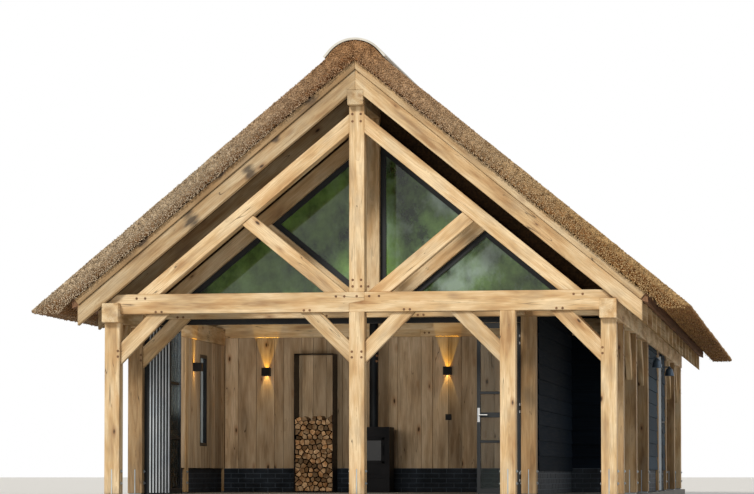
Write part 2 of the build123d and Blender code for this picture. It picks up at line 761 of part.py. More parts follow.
# Folding doors: track, jambs, the folded pack and the pass door
opening_left = -INNER + LEFT_JAMB
opening_right = DOOR_POST - RIGHT_JAMB
track_front = Y_B + TRACK_SETBACK
track_back = track_front + TRACK_WIDTH
track_under = TIE_UNDERSIDE - TRACK_HEIGHT
leaf_low = FLOOR + LEAF_FLOOR_GAP
leaf_high = track_under - LEAF_HEAD_GAP
leaf_width = (opening_right - opening_left - DOOR_SIDE_GAP - PASS_LEAF) / FOLDED_LEAVES
with BuildPart() as door_track:
    block(-PLATE_IN, DOOR_POST, track_front, track_back, track_under, TIE_UNDERSIDE)
    block(-PLATE_IN, opening_left, track_front, track_back, POST_HEAD, track_under)
    block(-INNER, opening_left, track_front, track_back, FLOOR, POST_HEAD)
    block(opening_right, DOOR_POST, track_front, track_back, FLOOR, track_under)
door_track.part.label = "door_track"
export_step(door_track.part, "parts/door_track.step")

pack_front = Y_B + PACK_SETBACK
pack_back = pack_front + leaf_width
pack_faces = [opening_left + LEAF_GAP + i * (LEAF_THICKNESS + LEAF_GAP) for i in range(FOLDED_LEAVES)]
pane_inset = (LEAF_THICKNESS - GLASS) / 2
with BuildPart() as folded_leaf_frames:
    for x in pack_faces:
        block(x, x + LEAF_THICKNESS, pack_front, pack_back, leaf_low, leaf_high)
        block(
            x,
            x + LEAF_THICKNESS,
            pack_front + LEAF_STILE,
            pack_back - LEAF_STILE,
            leaf_low + LEAF_RAIL,
            leaf_high - LEAF_RAIL,
            mode=Mode.SUBTRACT,
        )
        with Locations((x + LEAF_THICKNESS / 2, (track_front + track_back) / 2, leaf_high)):
            Cylinder(
                PIVOT_RADIUS,
                track_under - leaf_high,
                align=(Align.CENTER, Align.CENTER, Align.MIN),
            )
folded_leaf_frames.part.label = "folded_leaf_frames"
export_step(folded_leaf_frames.part, "parts/folded_leaf_frames.step")

with BuildPart() as folded_leaf_glass:
    for x in pack_faces:
        block(
            x + pane_inset,
            x + pane_inset + GLASS,
            pack_front + LEAF_STILE,
            pack_back - LEAF_STILE,
            leaf_low + LEAF_RAIL,
            leaf_high - LEAF_RAIL,
        )
folded_leaf_glass.part.label = "folded_leaf_glass"
export_step(folded_leaf_glass.part, "parts/folded_leaf_glass.step")

# Pass door: the last leaf of the set, hung on the right jamb and opening outwards
pass_right = opening_right - DOOR_SIDE_GAP
pass_left = pass_right - PASS_LEAF
pass_axis_x = pass_right
pass_axis_y = track_front - HINGE_RADIUS
hinge_heights = [leaf_low + share * (leaf_high - leaf_low) for share in (0.1, 0.5, 0.9)]
leaf_back = track_front + LEAF_THICKNESS
with BuildPart() as pass_door_frame:
    block(pass_left, pass_right, track_front, leaf_back, leaf_low, leaf_high)
    for z0, z1 in (
        (leaf_low + LEAF_RAIL, LOCK_HEIGHT),
        (LOCK_HEIGHT + LOCK_RAIL, leaf_high - LEAF_RAIL),
    ):
        block(
            pass_left + LEAF_STILE,
            pass_right - LEAF_STILE,
            track_front,
            leaf_back,
            z0,
            z1,
            mode=Mode.SUBTRACT,
        )
    for z in hinge_heights:
        with Locations((pass_axis_x, pass_axis_y, z)):
            Cylinder(HINGE_RADIUS, HINGE_HEIGHT)
        block(
            pass_axis_x - STRAP_LENGTH,
            pass_axis_x,
            track_front - STRAP,
            track_front,
            z - HINGE_HEIGHT / 2,
            z + HINGE_HEIGHT / 2,
        )
pass_door_frame.part.label = "pass_door_frame"
export_step(pass_door_frame.part, "parts/pass_door_frame.step")

with BuildPart() as pass_door_glass:
    for z0, z1 in (
        (leaf_low + LEAF_RAIL, LOCK_HEIGHT),
        (LOCK_HEIGHT + LOCK_RAIL, leaf_high - LEAF_RAIL),
    ):
        block(
            pass_left + LEAF_STILE,
            pass_right - LEAF_STILE,
            track_front + pane_inset,
            track_front + pane_inset + GLASS,
            z0,
            z1,
        )
pass_door_glass.part.label = "pass_door_glass"
export_step(pass_door_glass.part, "parts/pass_door_glass.step")

# Side door: frame in the wall, leaf drawn closed and then turned ajar on its hinges
side_low = FLOOR + LEAF_FLOOR_GAP
side_high = POST_HEAD - SIDE_DOOR_HEAD - LEAF_HEAD_GAP
with BuildPart() as side_door_frame:
    block(WALL_BACK, WALL_FACE, Y_E + POST, frame_front, FLOOR, POST_HEAD)
    block(WALL_BACK, WALL_FACE, frame_back, frame_back + SIDE_DOOR_FRAME, FLOOR, POST_HEAD)
    block(WALL_BACK, WALL_FACE, frame_front, frame_back, side_high + LEAF_HEAD_GAP, POST_HEAD)
side_door_frame.part.label = "side_door_frame"
export_step(side_door_frame.part, "parts/side_door_frame.step")

side_axis_x = WALL_FACE + HINGE_RADIUS
side_axis_y = door_back
side_hinge_heights = [side_low + share * (side_high - side_low) for share in (0.1, 0.5, 0.9)]
side_axis = Axis((side_axis_x, side_axis_y, 0), (0, 0, 1))
with BuildPart() as side_door_leaf:
    block(WALL_FACE - SIDE_DOOR_THICKNESS, WALL_FACE, door_front, door_back, side_low, side_high)
    for z in side_hinge_heights:
        with Locations((side_axis_x, side_axis_y, z)):
            Cylinder(HINGE_RADIUS, HINGE_HEIGHT)
        block(
            WALL_FACE,
            WALL_FACE + STRAP,
            side_axis_y - STRAP_LENGTH,
            side_axis_y,
            z - HINGE_HEIGHT / 2,
            z + HINGE_HEIGHT / 2,
        )
side_door_leaf.part = side_door_leaf.part.rotate(side_axis, SIDE_DOOR_AJAR)
side_door_leaf.part.label = "side_door_leaf"
export_step(side_door_leaf.part, "parts/side_door_leaf.step")

# Fixed knuckles of both doors, just above and below the knuckles on the leaves
knuckle = HINGE_HEIGHT / 2
with BuildPart() as door_hinges:
    for heights, axis_x, axis_y in (
        (hinge_heights, pass_axis_x, pass_axis_y),
        (side_hinge_heights, side_axis_x, side_axis_y),
    ):
        for z in heights:
            for middle in (z - knuckle - HINGE_GAP - knuckle / 2, z + knuckle + HINGE_GAP + knuckle / 2):
                with Locations((axis_x, axis_y, middle)):
                    Cylinder(HINGE_RADIUS, knuckle)
                if heights is hinge_heights:
                    block(
                        axis_x,
                        axis_x + DOOR_SIDE_GAP + RIGHT_JAMB,
                        track_front - STRAP,
                        track_front,
                        middle - knuckle / 2,
                        middle + knuckle / 2,
                    )
                else:
                    block(
                        WALL_FACE,
                        WALL_FACE + STRAP,
                        axis_y,
                        axis_y + STRAP_LENGTH,
                        middle - knuckle / 2,
                        middle + knuckle / 2,
                    )
door_hinges.part.label = "door_hinges"
export_step(door_hinges.part, "parts/door_hinges.step")

# Lever handles on both faces of each door
grip = HANDLE_REACH - HANDLE_RADIUS
pass_handle_x = pass_left + LEAF_STILE / 2
pass_handle_z = LOCK_HEIGHT + LOCK_RAIL / 2
with BuildPart() as pass_door_handle:
    for face, out in ((track_front, -1), (leaf_back, 1)):
        with Locations((pass_handle_x, face + out * HANDLE_PLATE / 2, pass_handle_z)):
            Box(HANDLE_PLATE_WIDTH, HANDLE_PLATE, HANDLE_PLATE_HEIGHT)
        with BuildSketch(Plane.XZ.offset(-face)):
            with Locations((pass_handle_x, pass_handle_z)):
                Circle(HANDLE_RADIUS)
        extrude(amount=-out * HANDLE_REACH)
        with BuildSketch(Plane.YZ.offset(pass_handle_x)):
            with Locations((face + out * grip, pass_handle_z)):
                Circle(HANDLE_RADIUS)
        extrude(amount=HANDLE_LEVER)
pass_door_handle.part.label = "pass_door_handle"
export_step(pass_door_handle.part, "parts/pass_door_handle.step")

side_handle_y = door_front + HANDLE_BACKSET
with BuildPart() as side_door_handle:
    for face, out in ((WALL_FACE, 1), (WALL_FACE - SIDE_DOOR_THICKNESS, -1)):
        with Locations((face + out * HANDLE_PLATE / 2, side_handle_y, HANDLE_HEIGHT)):
            Box(HANDLE_PLATE, HANDLE_PLATE_WIDTH, HANDLE_PLATE_HEIGHT)
        with BuildSketch(Plane.YZ.offset(face)):
            with Locations((side_handle_y, HANDLE_HEIGHT)):
                Circle(HANDLE_RADIUS)
        extrude(amount=out * HANDLE_REACH)
        with BuildSketch(Plane.XZ.offset(-side_handle_y)):
            with Locations((face + out * grip, HANDLE_HEIGHT)):
                Circle(HANDLE_RADIUS)
        extrude(amount=-HANDLE_LEVER)
side_door_handle.part = side_door_handle.part.rotate(side_axis, SIDE_DOOR_AJAR)
side_door_handle.part.label = "side_door_handle"
export_step(side_door_handle.part, "parts/side_door_handle.step")

# Cube lamps with a shallow light recess above and below
half_lamp = CUBE_LAMP / 2
side_lamp_y = Y_B + SIDE_LAMP_FROM_DOORS
lens = CUBE_LAMP - 2 * CUBE_LAMP_WALL
with BuildPart() as cube_lamps:
    with Locations(
        (LAMP_LEFT_X, lining_y - half_lamp, CUBE_LAMP_HEIGHT),
        (LAMP_RIGHT_X, lining_y - half_lamp, CUBE_LAMP_HEIGHT),
        (lining_face + half_lamp, side_lamp_y, CUBE_LAMP_HEIGHT),
    ):
        Box(CUBE_LAMP, CUBE_LAMP, CUBE_LAMP)
        with Locations((0, 0, half_lamp - CUBE_LAMP_RECESS / 2), (0, 0, CUBE_LAMP_RECESS / 2 - half_lamp)):
            Box(lens, lens, CUBE_LAMP_RECESS, mode=Mode.SUBTRACT)
cube_lamps.part.label = "cube_lamps"
export_step(cube_lamps.part, "parts/cube_lamps.step")

with BuildPart() as light_switch:
    with Locations((SWITCH_X, lining_y - SWITCH_DEPTH / 2, SWITCH_HEIGHT)):
        Box(SWITCH_SIZE, SWITCH_DEPTH, SWITCH_SIZE)
light_switch.part.label = "light_switch"
export_step(light_switch.part, "parts/light_switch.step")

# Bell lamps on the right wall, one on each side of the side door
bell_x = WALL_FACE + BELL_LAMP_REACH
bell_middle = POST_HEAD - BELL_LAMP_DROP
bell_top = bell_middle + BELL_HEIGHT / 2
bell_low = bell_middle - BELL_HEIGHT / 2
bell_places = (Y_D + POST + BELL_FROM_POST, frame_back + SIDE_DOOR_FRAME + BELL_FROM_DOOR)
with BuildPart() as bell_lamps:
    for y in bell_places:
        with BuildSketch(Plane.YZ.offset(WALL_FACE)):
            with Locations((y, bell_top + ARM_RADIUS)):
                Circle(WALL_ROSE)
        extrude(amount=ROSE_DEPTH)
        with BuildSketch(Plane.YZ.offset(WALL_FACE)):
            with Locations((y, bell_top + ARM_RADIUS)):
                Circle(ARM_RADIUS)
        extrude(amount=BELL_LAMP_REACH + ARM_RADIUS)
        with BuildSketch(Plane.XZ.offset(-y)):
            with BuildLine():
                Polyline(
                    (bell_x, bell_top + ARM_RADIUS),
                    (bell_x + BELL_NECK, bell_top + ARM_RADIUS),
                    (bell_x + BELL_NECK, bell_top),
                    (bell_x + BELL_SHOULDER, bell_top - BELL_SHOULDER_DROP),
                    (bell_x + BELL_RADIUS, bell_low),
                    (bell_x + BELL_RADIUS - BELL_WALL, bell_low),
                    (bell_x + BELL_SHOULDER - BELL_WALL, bell_top - BELL_SHOULDER_DROP - BELL_WALL),
                    (bell_x + BELL_NECK - BELL_WALL, bell_top - BELL_WALL),
                    (bell_x, bell_top - BELL_WALL),
                    close=True,
                )
            make_face()
        revolve(axis=Axis((bell_x, y, 0), (0, 0, 1)))
bell_lamps.part.label = "bell_lamps"
export_step(bell_lamps.part, "parts/bell_lamps.step")

# Wood stove with its flue, which runs up between two rafters to the deck
flue_rafter = max(front for front in rafter_fronts if front < lining_y - STOVE_DEPTH / 2)
flue_y = flue_rafter - FLUE_CLEARANCE - FLUE_RADIUS
stove_front = flue_y - STOVE_DEPTH / 2
above_deck = [
    (0, RAFTER_TOP),
    (-HALF, line_height(RAFTER_TOP, HALF)),
    (-HALF, crown_top),
    (0, crown_top),
]
with BuildPart() as flue_pipe:
    with Locations((STOVE_X, flue_y, STOVE_TOP)):
        Cylinder(FLUE_RADIUS, crown_top - STOVE_TOP, align=(Align.CENTER, Align.CENTER, Align.MIN))
    across(above_deck, flue_y - FLUE_RADIUS * 2, flue_y + FLUE_RADIUS * 2, mode=Mode.SUBTRACT)
flue_pipe.part.label = "flue_pipe"
export_step(flue_pipe.part, "parts/flue_pipe.step")

with BuildPart() as stove:
    block(
        STOVE_X - STOVE_WIDTH / 2,
        STOVE_X + STOVE_WIDTH / 2,
        stove_front,
        stove_front + STOVE_DEPTH,
        FLOOR,
        STOVE_TOP,
    )
    with BuildSketch(Plane.XZ.offset(-stove_front)):
        with Locations((STOVE_X, STOVE_TOP - STOVE_WINDOW)):
            Rectangle(STOVE_WINDOW, STOVE_WINDOW)
    extrude(amount=-STOVE_WALL, mode=Mode.SUBTRACT)
stove.part.label = "stove"
export_step(stove.part, "parts/stove.step")

# Firewood rack of flat steel against the back plinth
rack_left = RACK_X - RACK_WIDTH / 2
rack_right = RACK_X + RACK_WIDTH / 2
rack_front = Y_D - RACK_DEPTH
with BuildPart() as firewood_rack:
    block(rack_left, rack_right, rack_front, Y_D, FLOOR, RACK_TOP)
    block(
        rack_left + RACK_PLATE,
        rack_right - RACK_PLATE,
        rack_front,
        Y_D,
        FLOOR + RACK_PLATE,
        RACK_TOP - RACK_PLATE,
        mode=Mode.SUBTRACT,
    )
firewood_rack.part.label = "firewood_rack"
export_step(firewood_rack.part, "parts/firewood_rack.step")
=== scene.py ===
import json
import math
import random

import bmesh
import bpy
from mathutils import Matrix, Vector, noise


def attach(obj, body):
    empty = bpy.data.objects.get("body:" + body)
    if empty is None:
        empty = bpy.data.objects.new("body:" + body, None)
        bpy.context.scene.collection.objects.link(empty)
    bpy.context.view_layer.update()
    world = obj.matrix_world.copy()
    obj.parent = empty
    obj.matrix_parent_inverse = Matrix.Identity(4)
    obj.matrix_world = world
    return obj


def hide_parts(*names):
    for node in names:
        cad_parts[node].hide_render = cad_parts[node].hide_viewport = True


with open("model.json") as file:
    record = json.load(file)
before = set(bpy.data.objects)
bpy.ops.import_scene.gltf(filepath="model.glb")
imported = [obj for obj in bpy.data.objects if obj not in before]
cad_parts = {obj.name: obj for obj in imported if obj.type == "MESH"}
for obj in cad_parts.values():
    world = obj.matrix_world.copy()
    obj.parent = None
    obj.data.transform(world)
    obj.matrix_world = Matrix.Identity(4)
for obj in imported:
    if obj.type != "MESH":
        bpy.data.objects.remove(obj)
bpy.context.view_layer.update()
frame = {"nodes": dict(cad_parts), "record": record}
nodes = frame["nodes"]
rng = random.Random(11)


# Small helpers


def lin(red, green, blue):
    """A screen colour from 0 to 255 as a linear colour."""
    out = []
    for value in (red, green, blue):
        c = value / 255
        out.append(c / 12.92 if c <= 0.04045 else ((c + 0.055) / 1.055) ** 2.4)
    return (*out, 1.0)


def add(tree, kind, inputs=None, **settings):
    item = tree.nodes.new(kind)
    for key, value in settings.items():
        setattr(item, key, value)
    for key, value in (inputs or {}).items():
        if isinstance(value, bpy.types.NodeSocket):
            tree.links.new(value, item.inputs[key])
        else:
            item.inputs[key].default_value = value
    return item


def new_object(name, data):
    item = bpy.data.objects.new(name, data)
    bpy.context.scene.collection.objects.link(item)
    return item


def lit(name, kind, energy, colour, direction, place=(0, 0, 0)):
    """Hangs a lamp in the scene, turned to shine along a direction."""
    lamp = bpy.data.lights.new(name, kind)
    lamp.energy = energy
    lamp.color = colour
    holder = new_object(name, lamp)
    holder.location = place
    holder.rotation_euler = Vector(direction).to_track_quat("-Z", "Y").to_euler()
    return holder


def new_material(name, roughness=0.6, metallic=0.0, specular=0.5):
    mat = bpy.data.materials.new(name)
    mat.use_nodes = True
    tree = mat.node_tree
    shader = tree.nodes["Principled BSDF"]
    for key, value in (("Roughness", roughness), ("Metallic", metallic), ("Specular IOR Level", specular)):
        shader.inputs[key].default_value = value
    return mat, tree, shader


def scaled(tree, vector, scale, place=(0, 0, 0)):
    inputs = {"Vector": vector, "Scale": scale, "Location": place}
    return add(tree, "ShaderNodeMapping", inputs).outputs["Vector"]


def noise_of(tree, vector, scale, detail, rough=0.55, output="Fac"):
    inputs = {"Vector": vector, "Scale": scale, "Detail": detail, "Roughness": rough}
    return add(tree, "ShaderNodeTexNoise", inputs).outputs[output]


def ramp(tree, fac, stops):
    item = add(tree, "ShaderNodeValToRGB", {"Fac": fac})
    band = item.color_ramp
    while len(band.elements) < len(stops):
        band.elements.new(0.5)
    for element, (place, colour) in zip(band.elements, stops):
        element.position = place
        element.color = colour
    return item.outputs["Color"]


def level(tree, value, low, high, out_low=0.0, out_high=1.0):
    inputs = {"Value": value, "From Min": low, "From Max": high, "To Min": out_low, "To Max": out_high}
    return add(tree, "ShaderNodeMapRange", inputs).outputs["Result"]


def math_of(tree, operation, first, second=0.0):
    return add(tree, "ShaderNodeMath", {0: first, 1: second}, operation=operation).outputs["Value"]


def mixed(tree, fac, first, second, mode="MIX"):
    """Mixes two colours. The node takes them at sockets 6 and 7 and gives the result at 2."""
    inputs = {0: fac, 6: first, 7: second}
    return add(tree, "ShaderNodeMix", inputs, data_type="RGBA", blend_type=mode).outputs[2]


def link(tree, value, shader, socket="Base Color"):
    tree.links.new(value, shader.inputs[socket])


def bump(tree, shader, height, strength, distance):
    inputs = {"Height": height, "Strength": strength, "Distance": distance}
    link(tree, add(tree, "ShaderNodeBump", inputs).outputs["Normal"], shader, "Normal")


def object_place(tree):
    return add(tree, "ShaderNodeTexCoord").outputs["Object"]


def part_of(tree, vector, axis):
    return add(tree, "ShaderNodeSeparateXYZ", {"Vector": vector}).outputs[axis]


def tone_of(tree):
    return add(tree, "ShaderNodeAttribute", attribute_name="tone").outputs["Fac"]


def weighed(tree, *parts):
    """The sum of some values, each times its share."""
    total = 0.0
    for value, share in parts:
        total = math_of(tree, "ADD", math_of(tree, "MULTIPLY", value, share), total)
    return total


# Materials


def oak_material(name, pale, middle, dark, roughness=0.62, stains=(), low_tone=0.6, honey=0.3, depth=0.45):
    """Sawn oak with rings, knots, drying cracks and stains, read along each timber from its grain places."""
    mat, tree, shader = new_material(name, roughness, specular=0.3)
    grain = add(tree, "ShaderNodeAttribute", attribute_name="grain").outputs["Vector"]
    tone = tone_of(tree)
    broad = noise_of(tree, scaled(tree, grain, (1.4, 9.0, 9.0)), 1.0, 3.0)
    fine = noise_of(tree, scaled(tree, grain, (5.0, 150.0, 150.0)), 1.0, 3.0, 0.6)
    swirl = noise_of(tree, scaled(tree, grain, (2.4, 5.0, 5.0), (3, 1, 7)), 1.0, 3.0, 0.6)
    drift = noise_of(tree, scaled(tree, grain, (1.3, 3.2, 3.2)), 1.0, 2.0, 0.5, "Color")
    warped = mixed(tree, 0.085, grain, drift, "ADD")
    rings = add(tree, "ShaderNodeTexWave", {
        "Vector": warped, "Scale": 17.0, "Distortion": 1.2, "Detail": 2.0, "Detail Scale": 1.5,
    }, wave_type="RINGS", rings_direction="X", wave_profile="SAW").outputs["Fac"]
    base = ramp(tree, broad, [(0.3, dark), (0.46, middle), (0.62, pale)])
    ringed = mixed(tree, level(tree, rings, 0.55, 1.0, 0.0, 0.36), base, dark)
    streaked = mixed(tree, level(tree, fine, 0.42, 0.75, 0.0, 0.42), ringed, dark)
    warm = mixed(tree, level(tree, swirl, 0.5, 0.72, 0.0, honey), streaked, lin(198, 146, 88))
    greyed = mixed(tree, level(tree, swirl, 0.48, 0.3, 0.0, 0.38), warm, lin(166, 148, 122))
    cells = add(tree, "ShaderNodeTexVoronoi", {
        "Vector": scaled(tree, warped, (1.9, 4.4, 4.4), (9, 2, 4)), "Scale": 1.0, "Randomness": 1.0,
    }).outputs["Distance"]
    knotted = mixed(tree, level(tree, cells, 0.06, 0.19, 0.55, 0.0), greyed, lin(140, 92, 50))
    knots = mixed(tree, level(tree, cells, 0.04, 0.085, 0.9, 0.0), knotted, lin(46, 29, 18))
    lines = noise_of(tree, scaled(tree, grain, (0.7, 13.0, 13.0), (1, 5, 2)), 1.0, 1.0, 0.4)
    where = noise_of(tree, scaled(tree, grain, (1.6, 2.0, 2.0), (8, 8, 1)), 1.0, 1.0, 0.4)
    near = math_of(tree, "ABSOLUTE", math_of(tree, "SUBTRACT", lines, 0.5))
    crack = level(tree, near, 0.0, 0.007, 0.85, 0.0)
    shake = math_of(tree, "MULTIPLY", crack, level(tree, where, 0.48, 0.56))
    colour = mixed(tree, shake, knots, lin(44, 28, 18))
    place = object_place(tree)
    for spot, reach in stains:
        blot = noise_of(tree, scaled(tree, grain, (3.0, 14.0, 14.0)), 1.0, 3.0, 0.6)
        away = add(tree, "ShaderNodeVectorMath", {0: place, 1: spot}, operation="DISTANCE").outputs["Value"]
        uneven = math_of(tree, "MULTIPLY", blot, 1.6)
        edge = math_of(tree, "ADD", math_of(tree, "DIVIDE", away, reach), uneven)
        colour = mixed(tree, level(tree, edge, 1.05, 1.5, 0.8, 0.0), colour, lin(52, 44, 40))
    # The tone lightens or darkens each timber. It varies at random, and it is painted light and shade where
    # a range is set per node.
    shade = level(tree, tone, 0.0, 1.0, low_tone, 1.08)
    toned = mixed(tree, 1.0, colour, add(tree, "ShaderNodeCombineColor", {
        "Red": shade, "Green": shade, "Blue": shade,
    }).outputs["Color"], "MULTIPLY")
    link(tree, toned, shader)
    relief = math_of(tree, "SUBTRACT", math_of(tree, "MULTIPLY", fine, 0.5), shake)
    bump(tree, shader, relief, depth, 0.002)
    return mat


def board_material(name, base, other, roughness, scale, joints=None):
    """Stained boards: grain in the object's own space, with joints along the roof where asked."""
    mat, tree, shader = new_material(name, roughness, specular=0.08)
    place = object_place(tree)
    tone = tone_of(tree)
    grain = noise_of(tree, scaled(tree, place, scale), 1.0, 5.0, 0.6)
    blotch = noise_of(tree, place, 0.9, 2.0)
    shade = weighed(tree, (grain, 0.6), (blotch, 0.25), (tone, 0.15))
    colour = ramp(tree, shade, [(0.34, base), (0.66, other)])
    if joints:
        height = part_of(tree, place, "Z")
        step = math_of(tree, "FRACT", math_of(tree, "MULTIPLY", height, joints))
        colour = mixed(tree, level(tree, step, 0.0, 0.07, 0.85, 0.0), colour, lin(12, 9, 7))
    link(tree, colour, shader)
    link(tree, level(tree, grain, 0.2, 0.8, roughness - 0.12, roughness + 0.15), shader, "Roughness")
    bump(tree, shader, grain, 0.4, 0.002)
    return mat


def browned_with_painted_light_and_shade(tree, place, colour, under):
    """Reed is browner towards the ridge. Faces that point down are darkened as painted shade, and the right
    side is warmer and more yellow as painted light.
    """
    height, across = part_of(tree, place, "Z"), part_of(tree, place, "X")
    facing = part_of(tree, add(tree, "ShaderNodeNewGeometry").outputs["Normal"], "Z")
    brown = mixed(tree, level(tree, height, 4.2, 5.6, 0.0, 0.9), colour, lin(228, 192, 158), "MULTIPLY")
    # Painted light: the right side is warmer and more yellow.
    painted_light_right = mixed(tree, level(tree, across, 0.6, 3.0), brown, lin(255, 236, 200), "MULTIPLY")
    # Painted shade on faces that point down; under sets how strong it is.
    return mixed(tree, level(tree, facing, 0.0, -0.5, 0.0, under), painted_light_right, lin(196, 166, 136), "MULTIPLY")


def thatch_material(name):
    """Water reed lying in long straws down the slope."""
    mat, tree, shader = new_material(name, 0.85, specular=0.15)
    place = object_place(tree)
    speck = noise_of(tree, scaled(tree, place, (18.0, 90.0, 18.0)), 1.0, 3.0, 0.7)
    patch = noise_of(tree, place, 2.2, 4.0, 0.6)
    clump = noise_of(tree, place, 16.0, 3.0, 0.6)
    colour = ramp(tree, speck, [
        (0.3, lin(84, 64, 46)), (0.42, lin(146, 124, 96)),
        (0.54, lin(182, 160, 130)), (0.74, lin(220, 202, 174)),
    ])
    cool = mixed(tree, level(tree, patch, 0.4, 0.7, 0.0, 0.45), colour, lin(146, 134, 116))
    dark = mixed(tree, level(tree, clump, 0.3, 0.46, 0.5, 0.0), cool, lin(90, 68, 46))
    link(tree, browned_with_painted_light_and_shade(tree, place, dark, 1.0), shader)
    bump(tree, shader, math_of(tree, "ADD", speck, clump), 0.9, 0.006)
    return mat


def straw_material(name):
    """Single reeds, each in a tone of its own."""
    mat, tree, shader = new_material(name, 0.8, specular=0.2)
    tone = tone_of(tree)
    place = object_place(tree)
    patch = noise_of(tree, place, 1.6, 3.0, 0.6)
    colour = ramp(tree, tone, [
        (0.0, lin(108, 90, 70)), (0.22, lin(158, 139, 114)),
        (0.6, lin(190, 171, 144)), (1.0, lin(218, 202, 178)),
    ])
    cool = mixed(tree, level(tree, patch, 0.42, 0.66, 0.0, 0.35), colour, lin(164, 150, 132))
    link(tree, browned_with_painted_light_and_shade(tree, place, cool, 0.35), shader)
    bump(tree, shader, noise_of(tree, place, 400.0, 2.0), 0.3, 0.001)
    return mat


def metal_material(name, base, other, roughness, metallic=0.0, scale=60.0, relief=0.12):
    mat, tree, shader = new_material(name, roughness, metallic, 0.4)
    place = object_place(tree)
    fine = noise_of(tree, place, scale, 3.0, 0.6)
    wide = noise_of(tree, place, 3.0, 3.0, 0.5)
    link(tree, ramp(tree, wide, [(0.35, base), (0.65, other)]), shader)
    link(tree, level(tree, fine, 0.2, 0.8, roughness - 0.08, roughness + 0.1), shader, "Roughness")
    bump(tree, shader, fine, relief, 0.0006)
    return mat


def glass_material(name, tint, cloud_and_painted_reflection, alpha, roughness=0.04, pale=None):
    """Dark glazing with an uneven tint, paler to the right where asked. On the gable the uneven green is
    painted reflection of trees, and the pale patches are painted reflection of the sky.
    """
    mat, tree, shader = new_material(name, roughness, specular=0.6)
    place = object_place(tree)
    wide = noise_of(tree, scaled(tree, place, (1.0, 1.0, 0.8)), 1.9, 5.0, 0.65)
    colour = ramp(tree, wide, [(0.36, tint), (0.66, cloud_and_painted_reflection)])
    # pale: painted reflection of the sky, stronger to the right.
    if pale:
        patch = noise_of(tree, scaled(tree, place, (2.2, 1.0, 1.6), (4, 0, 2)), 1.0, 5.0, 0.6)
        rightwards = level(tree, part_of(tree, place, "X"), -0.6, 0.6, 0.1, 0.6)
        share = math_of(tree, "MULTIPLY", rightwards, level(tree, patch, 0.48, 0.66))
        colour = mixed(tree, share, colour, pale)
    link(tree, colour, shader)
    shader.inputs["Alpha"].default_value = alpha
    bump(tree, shader, wide, 0.05, 0.002)
    return mat


def floor_material(name):
    mat, tree, shader = new_material(name, 0.75, specular=0.3)
    place = object_place(tree)
    tiles = add(tree, "ShaderNodeTexBrick", {
        "Vector": place, "Color1": lin(120, 116, 108), "Color2": lin(104, 100, 94),
        "Mortar": lin(78, 76, 72), "Mortar Size": 0.006, "Brick Width": 0.6, "Row Height": 0.6, "Scale": 1.0,
    }, offset=0.0)
    fine = noise_of(tree, place, 26.0, 6.0, 0.65)
    spotted = mixed(tree, level(tree, fine, 0.3, 0.75, 0.0, 0.5), tiles.outputs["Color"], lin(86, 83, 78))
    link(tree, spotted, shader)
    bump(tree, shader, fine, 0.25, 0.002)
    return mat


def brick_material(name, base, other):
    mat, tree, shader = new_material(name, 0.7, specular=0.35)
    place = object_place(tree)
    fine = noise_of(tree, place, 70.0, 5.0, 0.65)
    wide = noise_of(tree, place, 5.0, 2.0, 0.5)
    shade = weighed(tree, (fine, 0.4), (wide, 0.6))
    link(tree, ramp(tree, shade, [(0.35, base), (0.65, other)]), shader)
    bump(tree, shader, fine, 0.5, 0.002)
    return mat


def glow_material(name, colour, strength):
    mat, tree, shader = new_material(name, 0.4)
    place = object_place(tree)
    soft = noise_of(tree, place, 30.0, 1.0)
    link(tree, ramp(tree, soft, [(0.3, colour), (0.7, lin(255, 214, 140))]), shader)
    shader.inputs["Emission Color"].default_value = colour
    shader.inputs["Emission Strength"].default_value = strength
    return mat


ALONG_ROOF = (30.0, 1.5, 30.0)
ALONG_WALL = (1.6, 1.6, 60.0)
OAK = oak_material(
    "oak_frame", lin(232, 208, 168), lin(208, 176, 130), lin(160, 124, 84),
    stains=(((-1.32, -7.91, 4.1), 0.16), ((-2.06, -7.91, 3.52), 0.2), ((-1.0, -7.93, 4.5), 0.1)),
)
# A darker brown oak. On the left verge boards it is partly their weathered colour and partly painted shade;
# on the inner posts it is painted shade.
OAK_BROWN_AND_PAINTED_SHADE = oak_material(
    "oak_frame_brown_and_painted_shade", lin(206, 174, 130), lin(180, 146, 102), lin(128, 98, 64),
    stains=(((-2.7, -7.91, 3.3), 0.2), ((-0.6, -7.91, 5.0), 0.2), ((-1.7, -7.91, 4.1), 0.14)),
)
LINING = oak_material(
    "oak_lining_boards", lin(206, 182, 150), lin(184, 158, 125), lin(142, 117, 88),
    honey=0.12, depth=0.08,
)
LOG = oak_material("split_log", lin(226, 190, 146), lin(184, 140, 96), lin(116, 78, 48), 0.8, low_tone=0.22)
PEG = metal_material("oak_pegs", lin(96, 66, 42), lin(128, 92, 60), 0.7, 0.0, 300.0, 0.4)
DECK = board_material("dark_roof_boards", lin(52, 38, 26), lin(98, 74, 50), 0.7, ALONG_ROOF, joints=11.0)
EAVE = board_material("brown_eave_boards", lin(112, 82, 62), lin(166, 128, 98), 0.75, ALONG_ROOF)
